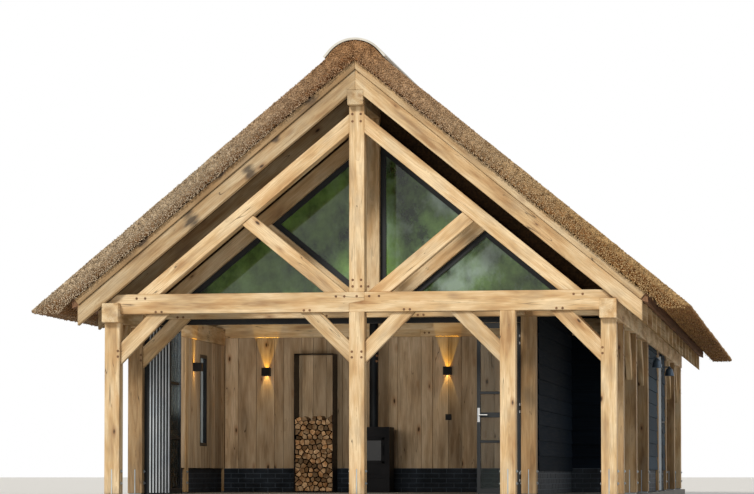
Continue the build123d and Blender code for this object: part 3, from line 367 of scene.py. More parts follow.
# Two copies of the black boards. black_boards is very dark, as painted shade. The outer side boards are
# paler, partly from weathering and partly as painted light.
BLACK_WITH_PAINTED_SHADE = board_material("black_boards", lin(5, 9, 14), lin(19, 28, 38), 0.8, ALONG_WALL)
WEATHERED_WITH_PAINTED_LIGHT = board_material("weathered_black_boards_with_painted_light", lin(18, 27, 34), lin(52, 67, 78), 0.75, ALONG_WALL)
REED = thatch_material("reed_slope")
STRAW = straw_material("reed_straws")
CAP = metal_material("pale_ridge_cap", lin(188, 184, 174), lin(214, 210, 200), 0.85, 0.0, 40.0, 0.6)
STEEL = metal_material("galvanised_steel", lin(150, 160, 168), lin(190, 198, 202), 0.38, 0.85, 90.0)
BRIGHT = metal_material("satin_steel", lin(176, 178, 180), lin(200, 200, 200), 0.3, 1.0, 200.0)
ALUMINIUM = metal_material("aluminium_edge", lin(176, 186, 194), lin(206, 212, 216), 0.45, 0.3, 120.0)
# The aluminium lock edge of the side door, near white and not metallic. This is painted light, since the
# edge lies in shadow.
DOOR_EDGE_PAINTED_LIGHT = metal_material("door_edge_painted_light", lin(222, 232, 240), lin(240, 246, 250), 0.5, 0.0, 120.0)
DARK_METAL = metal_material("dark_frame_metal", lin(18, 21, 24), lin(30, 34, 37), 0.42, 0.2, 140.0)
RACK_STEEL = metal_material("dark_steel_plate", lin(30, 24, 24), lin(46, 37, 35), 0.5, 0.5, 40.0, 0.2)
IRON = metal_material("stove_iron", lin(22, 22, 24), lin(34, 34, 36), 0.6, 0.3, 160.0, 0.3)
LAMP_BLACK = metal_material("lamp_black", lin(16, 16, 17), lin(26, 26, 27), 0.5, 0.0, 200.0)
LAMP_GREY = metal_material("lamp_grey", lin(74, 90, 106), lin(92, 110, 126), 0.35, 0.3, 100.0)
BULB = metal_material("frosted_bulb", lin(232, 232, 226), lin(240, 240, 236), 0.25, 0.0, 80.0, 0.05)
# Gable glass. Its uneven green is painted reflection of trees, and the pale patches to the right are painted
# reflection of the sky.
GABLE_GLASS = glass_material(
    "gable_glass", lin(34, 50, 26), lin(122, 160, 88), 0.92, pale=lin(168, 190, 182),
)
# Slot window glass, opaque and pale: painted daylight and reflection.
SLOT_GLASS_PAINTED_LIGHT = glass_material("slot_glass_painted_light", lin(196, 212, 216), lin(228, 238, 240), 1.0)
DOOR_GLASS = glass_material("door_glass", lin(40, 50, 48), lin(96, 110, 104), 0.14)
STOVE_GLASS = glass_material("stove_glass", lin(8, 8, 9), lin(26, 23, 20), 1.0, 0.2)
PAVING = floor_material("floor_tiles")
BRICK = brick_material("dark_brick", lin(14, 18, 22), lin(40, 46, 53))
JOINT = brick_material("brick_joint", lin(52, 60, 68), lin(74, 82, 90))
GLOW = glow_material("lamp_lens", lin(255, 176, 60), 6.0)


# Mesh builders


class Build:
    """Collects vertices and faces, with a tone and a grain place for each vertex."""

    def __init__(self):
        self.verts = []
        self.faces = []
        self.tone = []
        self.grain = []

    def put(self, verts, faces, tone=0.5, grain=None):
        start = len(self.verts)
        self.verts.extend(tuple(v) for v in verts)
        self.faces.extend([start + i for i in face] for face in faces)
        self.tone.extend([tone] * len(verts))
        self.grain.extend(tuple(g) for g in (grain or verts))

    def make(self, name, material, body="house", slot=None, replaces=(), smooth=False):
        mesh = bpy.data.meshes.new(name)
        mesh.from_pydata(self.verts, [], self.faces)
        flat = [c for g in self.grain for c in g]
        mesh.attributes.new("grain", "FLOAT_VECTOR", "POINT").data.foreach_set("vector", flat)
        mesh.attributes.new("tone", "FLOAT", "POINT").data.foreach_set("value", self.tone)
        mesh.materials.append(material)
        bm = bmesh.new()
        bm.from_mesh(mesh)
        bmesh.ops.recalc_face_normals(bm, faces=bm.faces)
        bm.to_mesh(mesh)
        bm.free()
        if smooth:
            mesh.shade_smooth()
        piece = new_object(name, mesh)
        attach(piece, body)
        if replaces:
            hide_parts(*replaces)
        return piece


SIGNS = [(x, y, z) for x in (-1, 1) for y in (-1, 1) for z in (-1, 1)]
CORNERS = {sign: i for i, sign in enumerate(SIGNS)}


def chamfer_faces():
    """Faces of a box with cut edges: three points at each corner, one on each side."""
    faces = []
    for axis in range(3):
        b, c = [i for i in range(3) if i != axis]
        for side in (-1, 1):
            ring = []
            for sb, sc in ((-1, -1), (1, -1), (1, 1), (-1, 1)):
                sign = [0, 0, 0]
                sign[axis], sign[b], sign[c] = side, sb, sc
                ring.append(CORNERS[tuple(sign)] * 3 + axis)
            faces.append(ring)
        for sb in (-1, 1):
            for sc in (-1, 1):
                low, high = [0, 0, 0], [0, 0, 0]
                low[axis], high[axis] = -1, 1
                low[b] = high[b] = sb
                low[c] = high[c] = sc
                i, j = CORNERS[tuple(low)] * 3, CORNERS[tuple(high)] * 3
                faces.append([i + b, j + b, j + c, i + c])
    faces.extend([i * 3, i * 3 + 1, i * 3 + 2] for i in range(8))
    return faces


CHAMFER_FACES = chamfer_faces()


def slab(build, low, high, cut=0.003, tone=0.5, along=0):
    """A box with cut edges. Its grain runs along one of its axes."""
    low, high = Vector(low), Vector(high)
    middle = (low + high) / 2
    half = (high - low) / 2
    verts, grain = [], []
    shift = Vector((rng.uniform(0, 40), rng.uniform(-0.12, 0.12), rng.uniform(-0.12, 0.12)))
    order = [along] + [i for i in range(3) if i != along]
    for sign in SIGNS:
        for axis in range(3):
            point = Vector([
                sign[i] * (half[i] - (0 if i == axis else min(cut, half[i] * 0.4))) for i in range(3)
            ])
            grain.append(Vector([point[i] for i in order]) + shift)
            verts.append(point)
    build.put([v + middle for v in verts], CHAMFER_FACES, tone, grain)


def disc(build, centre, normal, radius, depth, sides=10, tone=0.5, spin=0.0):
    """A short round head that stands on a face."""
    normal = Vector(normal).normalized()
    first = normal.orthogonal().normalized()
    second = normal.cross(first)
    turn = Matrix.Rotation(spin, 3, normal)
    first, second = turn @ first, turn @ second
    verts = []
    for height, share in ((-0.2 * depth, 1.0), (depth * 0.7, 1.0), (depth, 0.78)):
        for k in range(sides):
            a = math.tau * k / sides
            spot = first * math.cos(a) * radius * share + second * math.sin(a) * radius * share
            verts.append(Vector(centre) + spot + normal * height)
    faces = [list(range(sides))[::-1], [2 * sides + k for k in range(sides)]]
    for ring in (0, sides):
        for k in range(sides):
            n = (k + 1) % sides
            faces.append([ring + k, ring + n, ring + sides + n, ring + sides + k])
    build.put(verts, faces, tone)


def prism(build, outline, depth, tone=0.5, grain=None):
    """A straight body from an outline of points, pushed along a vector."""
    count = len(outline)
    verts = [Vector(p) for p in outline] + [Vector(p) + Vector(depth) for p in outline]
    faces = [list(range(count)), [count + k for k in range(count)][::-1]]
    for k in range(count):
        n = (k + 1) % count
        faces.append([k, k + count, n + count, n])
    build.put(verts, faces, tone, grain)


def stalk(build, base, direction, length, radius, tone):
    """One thin reed with four sides and a cut end."""
    direction = Vector(direction).normalized()
    first = direction.orthogonal().normalized()
    first = Matrix.Rotation(rng.uniform(0, 1.5), 3, direction) @ first
    second = direction.cross(first)
    base = Vector(base)
    ring = [first * radius, second * radius, -first * radius, -second * radius]
    verts = [base + r for r in ring] + [base + direction * length + r * 0.9 for r in ring]
    faces = [[0, 1, 5, 4], [1, 2, 6, 5], [2, 3, 7, 6], [3, 0, 4, 7], [4, 5, 6, 7]]
    build.put(verts, faces, tone)


def turned(build, about, angle):
    """Turns everything made so far about an upright axis."""
    turn = Matrix.Rotation(math.radians(angle), 3, "Z")
    about = Vector(about)
    build.verts = [tuple(turn @ (Vector(v) - about) + about) for v in build.verts]


def islands(bm):
    """Groups of joined vertices."""
    seen = set()
    for start in bm.verts:
        if start in seen:
            continue
        group, queue = [], [start]
        seen.add(start)
        while queue:
            vert = queue.pop()
            group.append(vert)
            for edge in vert.link_edges:
                other = edge.other_vert(vert)
                if other not in seen:
                    seen.add(other)
                    queue.append(other)
        yield group


def clean_copy(name):
    bm = bmesh.new()
    bm.from_mesh(nodes[name].data)
    bmesh.ops.remove_doubles(bm, verts=bm.verts, dist=0.00002)
    bmesh.ops.dissolve_limit(bm, angle_limit=0.002, verts=bm.verts, edges=bm.edges)
    return bm


def solids(name):
    """The low and high corner of each solid of a node."""
    bm = clean_copy(name)
    out = []
    for group in islands(bm):
        low = Vector([min(v.co[i] for v in group) for i in range(3)])
        high = Vector([max(v.co[i] for v in group) for i in range(3)])
        out.append((low, high))
    bm.free()
    return sorted(out, key=lambda pair: tuple(pair[0]))


def end_outline(name):
    """The outline of a node's front end, as points across and up."""
    bm = clean_copy(name)
    bm.normal_update()
    fronts = [f for f in bm.faces if f.normal.y < -0.9]
    face = max(fronts, key=lambda f: f.calc_area())
    out = [(v.co.x, v.co.z) for v in face.verts]
    bm.free()
    return out


def timbers(name, material, slot, cut=0.006, tones=(0.25, 0.95)):
    """Dresses every timber of a node: softened edges and grain along its length."""
    whole = clean_copy(name)
    build = Build()
    for group in islands(whole):
        single = bmesh.new()
        index = {vert: single.verts.new(vert.co) for vert in group}
        done = set()
        for vert in group:
            for face in vert.link_faces:
                if face not in done:
                    done.add(face)
                    single.faces.new([index[v] for v in face.verts])
        single.normal_update()
        sums = []
        for edge in single.edges:
            run = edge.verts[1].co - edge.verts[0].co
            length = run.length
            for item in sums:
                if abs(run.normalized().dot(item[0])) > 0.999:
                    item[1] += length
                    break
            else:
                sums.append([run.normalized(), length])
        sums.sort(key=lambda item: -item[1])
        axis = sums[0][0]
        second = next(s[0] for s in sums[1:] if abs(s[0].dot(axis)) < 0.05)
        third = axis.cross(second)
        centre = sum((v.co for v in single.verts), Vector()) / len(single.verts)
        sharp = [e for e in single.edges if len(e.link_faces) == 2 and e.calc_face_angle(0) > 0.3]
        bmesh.ops.bevel(single, geom=sharp, offset=cut, segments=1, affect="EDGES", clamp_overlap=True)
        shift = Vector((rng.uniform(0, 60), rng.uniform(-0.05, 0.05), rng.uniform(-0.05, 0.05)))
        single.verts.index_update()
        verts = [v.co.copy() for v in single.verts]
        grain = [Vector([(v - centre).dot(way) for way in (axis, second, third)]) + shift for v in verts]
        faces = [[v.index for v in f.verts] for f in single.faces]
        build.put(verts, faces, rng.uniform(*tones), grain)
        single.free()
    whole.free()
    return build.make(name + "_dressed", material, slot=slot, replaces=(name,))


# Oak frame

OAK_NODES = (
    "front_posts", "inner_posts", "rear_posts", "wall_plates", "ridge_beam", "tie_beams_left",
    "tie_beams_right", "king_posts", "principal_rafters", "struts", "cross_braces", "side_braces",
    "aisle_beam", "rafters_left", "rafters_right", "verge_boards_left", "verge_boards_right",
)
# Tone range of each timber. Within a range the tone differs at random, but the ranges themselves are painted
# light and shade: the front frame and right rafters are set light, and the inner posts and the left rafters
# and verge boards dark.
TONES_WITH_PAINTED_SHADE = {
    "verge_boards_left": (0.2, 0.3), "verge_boards_right": (0.35, 0.5), "rafters_left": (0.05, 0.3),
    "rafters_right": (0.5, 0.8), "ridge_beam": (0.3, 0.45), "side_braces": (0.35, 0.7),
    "front_posts": (0.7, 0.9), "inner_posts": (0.15, 0.4), "tie_beams_left": (0.7, 0.95),
    "tie_beams_right": (0.8, 1.0), "king_posts": (0.75, 1.0), "principal_rafters": (0.6, 0.9),
    "struts": (0.7, 1.0),
}
for node_name in OAK_NODES:
    material = OAK_BROWN_AND_PAINTED_SHADE if node_name in ("verge_boards_left", "inner_posts") else OAK
    timbers(node_name, material, "oak", tones=TONES_WITH_PAINTED_SHADE.get(node_name, (0.45, 0.85)))

# Plain finishes for the nodes that keep their own shape

FINISHES = {
    DARK_METAL: (
        "gable_window_frames", "slot_window_frame", "door_track", "folded_leaf_frames",
        "pass_door_frame", "flue_pipe",
    ),
    BRIGHT: ("pass_door_handle", "side_door_handle", "door_hinges"),
    STEEL: ("post_feet",),
    GABLE_GLASS: ("gable_window_glass",),
    DOOR_GLASS: ("folded_leaf_glass", "pass_door_glass"),
    SLOT_GLASS_PAINTED_LIGHT: ("slot_window_glass",),
    EAVE: ("eave_boards",),
    DECK: ("gable_infill", "roof_deck_left", "roof_deck_right"),
    BLACK_WITH_PAINTED_SHADE: ("cross_walls", "side_walls", "aisle_wall", "side_door_frame", "side_door_leaf"),
    JOINT: ("side_plinths", "cross_plinths"),
    PAVING: ("floor_slab",),
    LAMP_BLACK: ("cube_lamps", "light_switch"),
    LAMP_GREY: ("bell_lamps",),
    IRON: ("stove",),
    RACK_STEEL: ("firewood_rack",),
    CAP: ("ridge_cap",),
}
for finish, names in FINISHES.items():
    for node_name in names:
        mesh = nodes[node_name].data
        mesh.materials.clear()
        mesh.materials.append(finish)

# Dark lapped boards on the walls

BOARD_PITCH = 0.195
BOARD_LAP = 0.012
BOARD_FOOT, BOARD_HEAD = 0.021, 0.007


def lapped(build, axis, face, out, start, end, low, high, hole=None):
    """Horizontal lapped boards on one wall face. hole leaves out a window."""
    z = low
    while z < high - 0.03:
        top = min(z + BOARD_PITCH + BOARD_LAP, high)
        foot = BOARD_FOOT + rng.uniform(-0.002, 0.002)
        shape = [(0.0, z), (foot, z + rng.uniform(0, 0.003)), (foot, z + BOARD_LAP)]
        shape += [(BOARD_HEAD, top), (0.0, top)]
        cut = hole and z < hole[3] and top > hole[2]
        tone = rng.random()
        for a, b in ((start, hole[0]), (hole[1], end)) if cut else ((start, end),):
            outline = []
            for off, height in shape:
                spot = [0.0, 0.0, height]
                spot[axis] = face + out * off
                spot[1 - axis] = a
                outline.append(spot)
            depth = [0.0, 0.0, 0.0]
            depth[1 - axis] = b - a
            prism(build, outline, depth, tone)
        z += BOARD_PITCH


boards, outer_boards = Build(), Build()
window_low, window_high = solids("slot_window_frame")[0]
for low, high in solids("side_walls"):
    side = 1 if low.x > 0 else -1
    face = high.x if side > 0 else low.x
    has_window = side < 0 and low.y < window_low.y < high.y
    gap = (window_low.y - 0.01, window_high.y + 0.01, window_low.z - 0.01, window_high.z + 0.01)
    lapped(outer_boards, 0, face, side, low.y + 0.002, high.y - 0.002, low.z - 0.02, high.z - 0.002,
           hole=gap if has_window else None)
outer_boards.make("lapped_side_boards", WEATHERED_WITH_PAINTED_LIGHT, slot="black_boards")
aisle_low, aisle_high = solids("aisle_wall")[0]
cross = solids("cross_walls")
lounge_back = min(low.y for low, high in cross)
store_back = max(high.y for low, high in cross)
tie_low = min(low.z for low, high in solids("tie_beams_left"))
PLINTH_TOP = 0.4
AISLE_BOARDS_TOP = 2.9
INNER_REACH, REAR_REACH = 3.008, 3.005
lapped(boards, 1, lounge_back, -1, aisle_high.x + 0.003, INNER_REACH, PLINTH_TOP, tie_low - 0.003)
lapped(boards, 0, aisle_high.x, 1, aisle_low.y + 0.03, lounge_back - 0.03, PLINTH_TOP, AISLE_BOARDS_TOP)
lapped(boards, 1, store_back, 1, -REAR_REACH, REAR_REACH, aisle_low.z - 0.02, tie_low - 0.004)
boards.make("lapped_boards", BLACK_WITH_PAINTED_SHADE, slot="black_boards")

# Brick plinths

COURSE = 0.0695
BRICK_PITCH = 0.22
MORTAR = 0.01
BRICK_SUNK, BRICK_PROUD = 0.004, (0.004, 0.0065)


def bricks(build, axis, face, out, low, high):
    """Brick faces in half bond that stand just proud of one face of a plinth."""
    start, end, crown = low[1 - axis], high[1 - axis], high.z - 0.004
    row = 0
    z = low.z
    while z < crown - 0.03:
        top = min(z + COURSE - MORTAR, crown)
        a = start - (BRICK_PITCH / 2 if row % 2 else 0)
        while a < end - 0.02:
            first, last = max(a, start), min(a + BRICK_PITCH - MORTAR, end)
            a += BRICK_PITCH
            if last - first < 0.03:
                continue
            lift = rng.uniform(*BRICK_PROUD)
            near, far = sorted((face - out * BRICK_SUNK, face + out * lift))
            corner, other = [0, 0, z], [0, 0, top]
            corner[axis], other[axis] = near, far
            corner[1 - axis], other[1 - axis] = first, last
            slab(build, corner, other, 0.002, tone=rng.random(), along=1 - axis)
        z += COURSE
        row += 1


courses = Build()
for low, high in solids("side_plinths"):
    side = 1 if low.x > 0 else -1
    bricks(courses, 0, high.x if side > 0 else low.x, side, low, high)
    if side < 0 and high.y < lounge_back:
        bricks(courses, 0, high.x, 1, low, high)
for low, high in solids("cross_plinths"):
    bricks(courses, 1, low.y, -1, low, high)
    bricks(courses, 1, high.y, 1, low, high)
courses.make("plinth_bricks", BRICK, slot="brick")

# Oak lining: upright planks and the post that shows between them

PLANK_WIDTHS = (0.14, 0.17, 0.2, 0.23, 0.27)
PLANK_JOINT = 0.0015
MIDDLE_POST = 0.081


def planks(build, axis, near, far, start, end, low, high, hole=None):
    """Upright planks of uneven width between two ends. hole leaves out a window."""
    edges = [start]
    while edges[-1] < end - 0.12:
        edges.append(min(edges[-1] + rng.choice(PLANK_WIDTHS), end))
    edges[-1] = end
    if hole:
        edges = sorted({e for e in edges if not hole[0] - 0.06 < e < hole[1] + 0.06} | {hole[0], hole[1]})
    for a, b in zip(edges, edges[1:]):
        tone = rng.uniform(0.1, 1.0)
        cut = hole and a >= hole[0] - 0.001 and b <= hole[1] + 0.001
        spans = [(low, hole[2]), (hole[3], high)] if cut else [(low, high)]
        for z0, z1 in spans:
            back = rng.uniform(0, 0.002)
            corner, other = [0, 0, z0], [0, 0, z1]
            corner[axis], other[axis] = sorted((near - math.copysign(back, near - far), far))
            corner[1 - axis], other[1 - axis] = a + PLANK_JOINT, b - PLANK_JOINT
            slab(build, corner, other, 0.0025, tone=tone, along=2)


lining = Build()
for low, high in solids("oak_lining"):
    if high.x > 0:
        for a, b in ((low.x + 0.01, -MIDDLE_POST - 0.002), (MIDDLE_POST + 0.002, high.x)):
            planks(lining, 1, low.y, high.y, a, b, low.z, high.z - 0.002)
        corner, other = (-MIDDLE_POST, low.y - 0.004, low.z), (MIDDLE_POST, high.y, high.z - 0.002)
        slab(lining, corner, other, tone=0.9, along=2)
    else:
        gap = (window_low.y, window_high.y, window_low.z, window_high.z)
        hole = gap if low.y < window_low.y < high.y else None
        planks(lining, 0, high.x, low.x, low.y, high.y, low.z, high.z - 0.002, hole)
lining.make("lining_planks", LINING, slot="oak", replaces=("oak_lining",))

# Thatch: uneven slopes, cut reed ends at the verges and eaves, loose straws on the slopes


def inside(outline, x, z):
    """Whether a point lies inside an outline."""
    odd = False
    for (x0, z0), (x1, z1) in zip(outline, outline[1:] + outline[:1]):
        if (z0 > z) != (z1 > z) and x < (x1 - x0) * (z - z0) / (z1 - z0) + x0:
            odd = not odd
    return odd


def outward(outline):
    """Each edge of an outline with the direction that points out of it."""
    out = []
    for (x0, z0), (x1, z1) in zip(outline, outline[1:] + outline[:1]):
        run = Vector((x1 - x0, z1 - z0))
        if run.length < 0.0005:
            continue
        side = Vector((run.y, -run.x)).normalized()
        middle = Vector((x0 + x1, z0 + z1)) / 2 + side * 0.004
        if inside(outline, middle.x, middle.y):
            side = -side
        out.append((Vector((x0, z0)), Vector((x1, z1)), side))
    return out


END = 7.975
ROWS = 146
RING_STEP = 0.08
VERGES = (("front", -1, 10500), ("rear", 1, 5000))
STRAWS_PER_SLOPE = 3600
EAVE_REEDS = 9000
EAVE_START = 3.57
STRAW_REACH, EAVE_REACH = 4.08, 4.075
SKIN_DEPTH, SKIN_WAVE = 0.016, 0.008
STRAW_DEPTH, EAVE_DEPTH = 0.018, 0.034
for hand in ("left", "right"):
    outline = end_outline("thatch_" + hand)
    edges = outward(outline)
    ring = []
    for start, stop, side in edges:
        steps = max(1, round((stop - start).length / RING_STEP))
        ring.extend((start.lerp(stop, k / steps), side) for k in range(steps))
    count = len(ring)
    body = Build()
    verts = []
    for r in range(ROWS + 1):
        y = -END + 2 * END * r / ROWS
        for k, (spot, side) in enumerate(ring):
            mean = (side + ring[k - 1][1]).normalized()
            if abs(spot.x) < 0.02:
                mean = Vector((0, 0))
            wave = noise.noise(Vector((spot.x * 2.2, y * 1.6, spot.y * 2.2)))
            wave += 0.8 * noise.noise(Vector((spot.x * 9, y * 9, spot.y * 9 + 5)))
            place = spot - mean * (SKIN_DEPTH - SKIN_WAVE * wave)
            verts.append((place.x, y, place.y))
    faces = [list(range(count)), list(range(ROWS * count, (ROWS + 1) * count))[::-1]]
    for r in range(ROWS):
        for k in range(count):
            n = (k + 1) % count
            a, b = r * count, (r + 1) * count
            faces.append([a + k, a + n, b + n, b + k])
    body.put(verts, faces)
    body.make(f"thatch_{hand}_body", REED, slot="thatch", replaces=("thatch_" + hand,), smooth=True)

    across, up = zip(*outline)
    for end_name, sign, amount in VERGES:
        ends = Build()
        placed = 0
        while placed < amount:
            x, z = rng.uniform(min(across), max(across)), rng.uniform(min(up), max(up))
            if not inside(outline, x + math.copysign(0.02, x), z):
                continue
            placed += 1
            lean = (rng.gauss(0, 0.12), sign, rng.gauss(0, 0.12))
            length, radius = rng.uniform(0.006, 0.021), rng.uniform(0.0035, 0.0065)
            stalk(ends, (x, sign * (END - 0.004), z), lean, length, radius, rng.random())
        ends.make(f"verge_reeds_{hand}_{end_name}", STRAW, slot="thatch")

    slope = max(edges, key=lambda e: (e[1] - e[0]).length if e[2].y > 0.5 else 0)
    down = (slope[1] - slope[0]).normalized() * (1 if slope[1].y < slope[0].y else -1)
    straws = Build()
    for _ in range(STRAWS_PER_SLOPE):
        spot = slope[0].lerp(slope[1], rng.uniform(0.02, 0.97)) - slope[2] * STRAW_DEPTH
        y = rng.uniform(-END + 0.3, END - 0.3)
        length = rng.uniform(0.12, 0.34)
        lean = (down.x, rng.gauss(0, 0.06), down.y)
        tip = spot + down * length
        if abs(tip.x) > STRAW_REACH:
            continue
        stalk(straws, (spot.x, y, spot.y), lean, length, rng.uniform(0.004, 0.007), rng.random())
    straws.make(f"slope_straws_{hand}", STRAW, slot="thatch")

    under = [e for e in edges if e[2].y < 0.3 and min(abs(e[0].x), abs(e[1].x)) > EAVE_START]
    weights = [(e[1] - e[0]).length for e in under]
    butts = Build()
    for _ in range(EAVE_REEDS):
        start, stop, side = rng.choices(under, weights)[0]
        spot = start.lerp(stop, rng.random()) - side * EAVE_DEPTH
        if abs(spot.x) > EAVE_REACH:
            continue
        lean = side + down * 0.5
        foot, lean = (spot.x, rng.uniform(-END, END), spot.y), (lean.x, rng.gauss(0, 0.1), lean.y)
        length, radius = rng.uniform(0.014, 0.032), rng.uniform(0.005, 0.009)
        stalk(butts, foot, lean, length, radius, rng.random() * 0.6)
    butts.make(f"eave_reeds_{hand}", REED, slot="thatch")

# Oak pegs in the joints


def peg(build, x, y, z, out=(0, -1, 0)):
    disc(build, (x, y, z), out, PEG_RADIUS, PEG_HEIGHT, 8, rng.random(), rng.random())


def crossed(across, up):
    return [(x, z) for x in across for z in up]


PEG_RADIUS, PEG_HEIGHT = 0.016, 0.004
POST = 0.19
OUTER_POST = 3.0
BACK_WALL = -2.5
BACK_PEGS = 2.418
trusses = sorted({round(low.y, 3) for low, high in solids("king_posts")})
posts = solids("front_posts") + solids("inner_posts") + solids("rear_posts")
ties = solids("tie_beams_left")
tie_high = max(high.z for low, high in ties)
king_high = max(high.z for low, high in solids("king_posts"))
# Tie beam, outer and inner knee braces, head and foot of the king post, centre post, corner posts
frame_spots = [
    *crossed((-2.79, -2.68, -0.26, -0.155, 0.0, 0.157, 0.279, 2.68, 2.79), (tie_high - 0.052,)),
    *crossed((-2.545, -2.47, 2.545, 2.47), (tie_low + 0.022,)),
    *crossed((-0.663, -0.59, 0.663, 0.59), (tie_low + 0.025,)),
    *crossed((-0.054, 0.05), (king_high - 0.1, king_high - 0.19)),
    *crossed((-0.05, 0.055), (tie_high + 0.07, tie_high + 0.15)),
    *crossed((-0.06, 0.06), (1.87, 1.8)),
    *crossed((-3.03, 3.03), (1.9, 1.83)),
]
SIDE_SPOTS = ((-0.04, 1.86), (0.04, 1.8), (-0.03, 2.2), (0.045, 2.2))
pegs = Build()
for front in trusses:
    faces = [(front, -1)]
    if front == trusses[-1]:
        faces.append((front + POST, 1))
    for y, out in faces:
        for x, z in frame_spots:
            peg(pegs, x, y, z, (0, out, 0))
for low, high in posts:
    side = 1 if low.x > 0 else -1
    if abs(low.x + high.x) / 2 > OUTER_POST:
        face = high.x if side > 0 else low.x
        for shift, z in SIDE_SPOTS:
            peg(pegs, face, (low.y + high.y) / 2 + shift, z, (side, 0, 0))
for x in (-0.033, 0.031):
    peg(pegs, x, min(low.y for low, high in ties if low.y > BACK_WALL), BACK_PEGS)
pegs.make("joint_pegs", PEG, slot="oak")

# Bolts through the post feet: a washer, a nut and the end of the thread

BOLT_HEIGHTS = (0.395, 0.245)
BOLT_RINGS = ((0.0, 0.024, 0.004, 16), (0.003, 0.015, 0.013, 6), (0.014, 0.007, 0.007, 10))
bolts = Build()
for low, high in posts:
    middle = (low.y + high.y) / 2
    for face, side in ((low.x, -1), (high.x, 1)):
        for z in BOLT_HEIGHTS:
            for reach, radius, height, sides in BOLT_RINGS:
                disc(bolts, (face + side * reach, middle, z), (side, 0, 0), radius, height, sides)
bolts.make("foot_bolts", STEEL, slot="galvanised")

# Glass: edges and bars of the door leaves, spacer in the gable, inner sheet of the slot window

BAR = 0.0175
FOLDED_BARS, PASS_BARS = (0.835, 1.545), (0.774, 1.393)
SPACER_LEFT, SPACER_RIGHT, SPACER_FRONT, SPACER_REAR = 0.16, 0.166, -6.518, -6.514
SPACER_BASE, SPACER_TOP, SPACER_PITCH, SPACER_LENGTH = 2.72, 4.3, 0.034, 0.022
edges_set, bars, pass_bars, spacer = Build(), Build(), Build(), Build()
for low, high in solids("folded_leaf_frames"):
    corner = (low.x + 0.011, low.y - 0.0025, low.z + 0.01)
    slab(edges_set, corner, (low.x + 0.028, low.y + 0.002, high.z - 0.03), 0.0008)
    for z in FOLDED_BARS:
        slab(bars, (low.x + 0.003, low.y + 0.04, z - BAR), (low.x + 0.035, high.y - 0.04, z + BAR), 0.002)
edges_set.make("leaf_edges", ALUMINIUM, slot="dark_metal")
bars.make("folded_leaf_bars", DARK_METAL, slot="dark_metal")
low, high = solids("pass_door_frame")[0]
for z in PASS_BARS:
    corner = (low.x + 0.04, low.y + 0.004, z - BAR)
    slab(pass_bars, corner, (high.x - 0.04, low.y + 0.034, z + BAR), 0.002)
pass_bars.make("pass_door_bars", DARK_METAL, body="pass_door", slot="dark_metal")
z = SPACER_BASE
while z < SPACER_TOP:
    corner, other = (SPACER_LEFT, SPACER_FRONT, z), (SPACER_RIGHT, SPACER_REAR, z + SPACER_LENGTH)
    slab(spacer, corner, other, 0.0008)
    z += SPACER_PITCH
spacer.make("glass_spacer", ALUMINIUM, slot="dark_metal")
# The inner sheet of the slot window. Its pale colour is painted daylight.
sheet = Build()
low, high = solids("slot_window_glass")[0]
slab(sheet, (high.x + 0.03, low.y, low.z), (high.x + 0.036, high.y, high.z), 0.001)
sheet.make("slot_inner_sheet", SLOT_GLASS_PAINTED_LIGHT, slot="glass")

# Lamps and switch: glowing lenses, their light on the wall, bulbs and rocker


def beam(name, place, direction, colour, energy, fading):
    """A sharp cone of light along a wall. It fades with the distance or with its square."""
    lamp = lit(name, "SPOT", energy, colour, direction, place).data
    lamp.spot_size = math.radians(37)
    lamp.spot_blend = 0.3
    lamp.shadow_soft_size = 0.003
    lamp.use_nodes = True
    tree = lamp.node_tree
    falloff = add(tree, "ShaderNodeLightFalloff", {"Strength": 1.0})
    link(tree, falloff.outputs[fading], tree.nodes["Emission"], "Strength")


LEAN = 0.08
FROM_WALL = 0.047
LENS_RADIUS, LENS_DEPTH, LENS_INSET, BEAM_INSET = 0.036, 0.004, 0.011, 0.13
lenses = Build()
for number, (low, high) in enumerate(solids("cube_lamps")):
    middle = (low + high) / 2
    if low.y < BACK_WALL:
        lean, start = Vector((-LEAN, 0, 0)), (low.x + FROM_WALL, middle.y)
    else:
        lean, start = Vector((0, LEAN, 0)), (middle.x, high.y - FROM_WALL)
    for side in (-1, 1):
        end = high.z if side > 0 else low.z
        lens = (middle.x, middle.y, end - side * LENS_INSET)
        disc(lenses, lens, (0, 0, side), LENS_RADIUS, LENS_DEPTH, 20)
        place = (*start, end - side * BEAM_INSET)
        direction = lean + Vector((0, 0, side))
        if side > 0:
            beam(f"light_up_{number}", place, direction, (1.0, 0.62, 0.06), energy=64, fading="Linear")
        else:
            colour = (1.0, 0.7, 0.22)
            beam(f"light_down_{number}", place, direction, colour, energy=11, fading="Quadratic")
lamp_glass = lenses.make("lamp_lenses", GLOW, slot="glass")
lamp_glass.visible_shadow = False
nodes["cube_lamps"].visible_shadow = False

bulbs = Build()
for low, high in solids("bell_lamps"):
    centre = Vector((high.x - 0.075, (low.y + high.y) / 2, low.z + 0.045))
    for height, share in ((-0.02, 0.6), (0.0, 0.9), (0.02, 1.0), (0.045, 0.5)):
        disc(bulbs, centre + Vector((0, 0, height)), (0, 0, 1), 0.024 * share, 0.022, 16)
bulbs.make("lamp_bulbs", BULB, slot="glass")

low, high = solids("light_switch")[0]
plate = Build()
RIM = 0.012
corner, other = (low.x + RIM, low.y - 0.003, low.z + RIM), (high.x - RIM, low.y + 0.001, high.z - RIM)
slab(plate, corner, other, 0.001)
plate.make("switch_rocker", LAMP_BLACK, slot="dark_plastic")

# Split logs in the rack


def clipped(outline, point, normal):
    """The part of an outline on the far side of a line."""
    out = []
    for a, b in zip(outline, outline[1:] + outline[:1]):
        da, db = (a - point).dot(normal), (b - point).dot(normal)
        if da <= 0:
            out.append(a)
        if (da < 0) != (db < 0) and da != db:
            out.append(a.lerp(b, da / (da - db)))
    return out


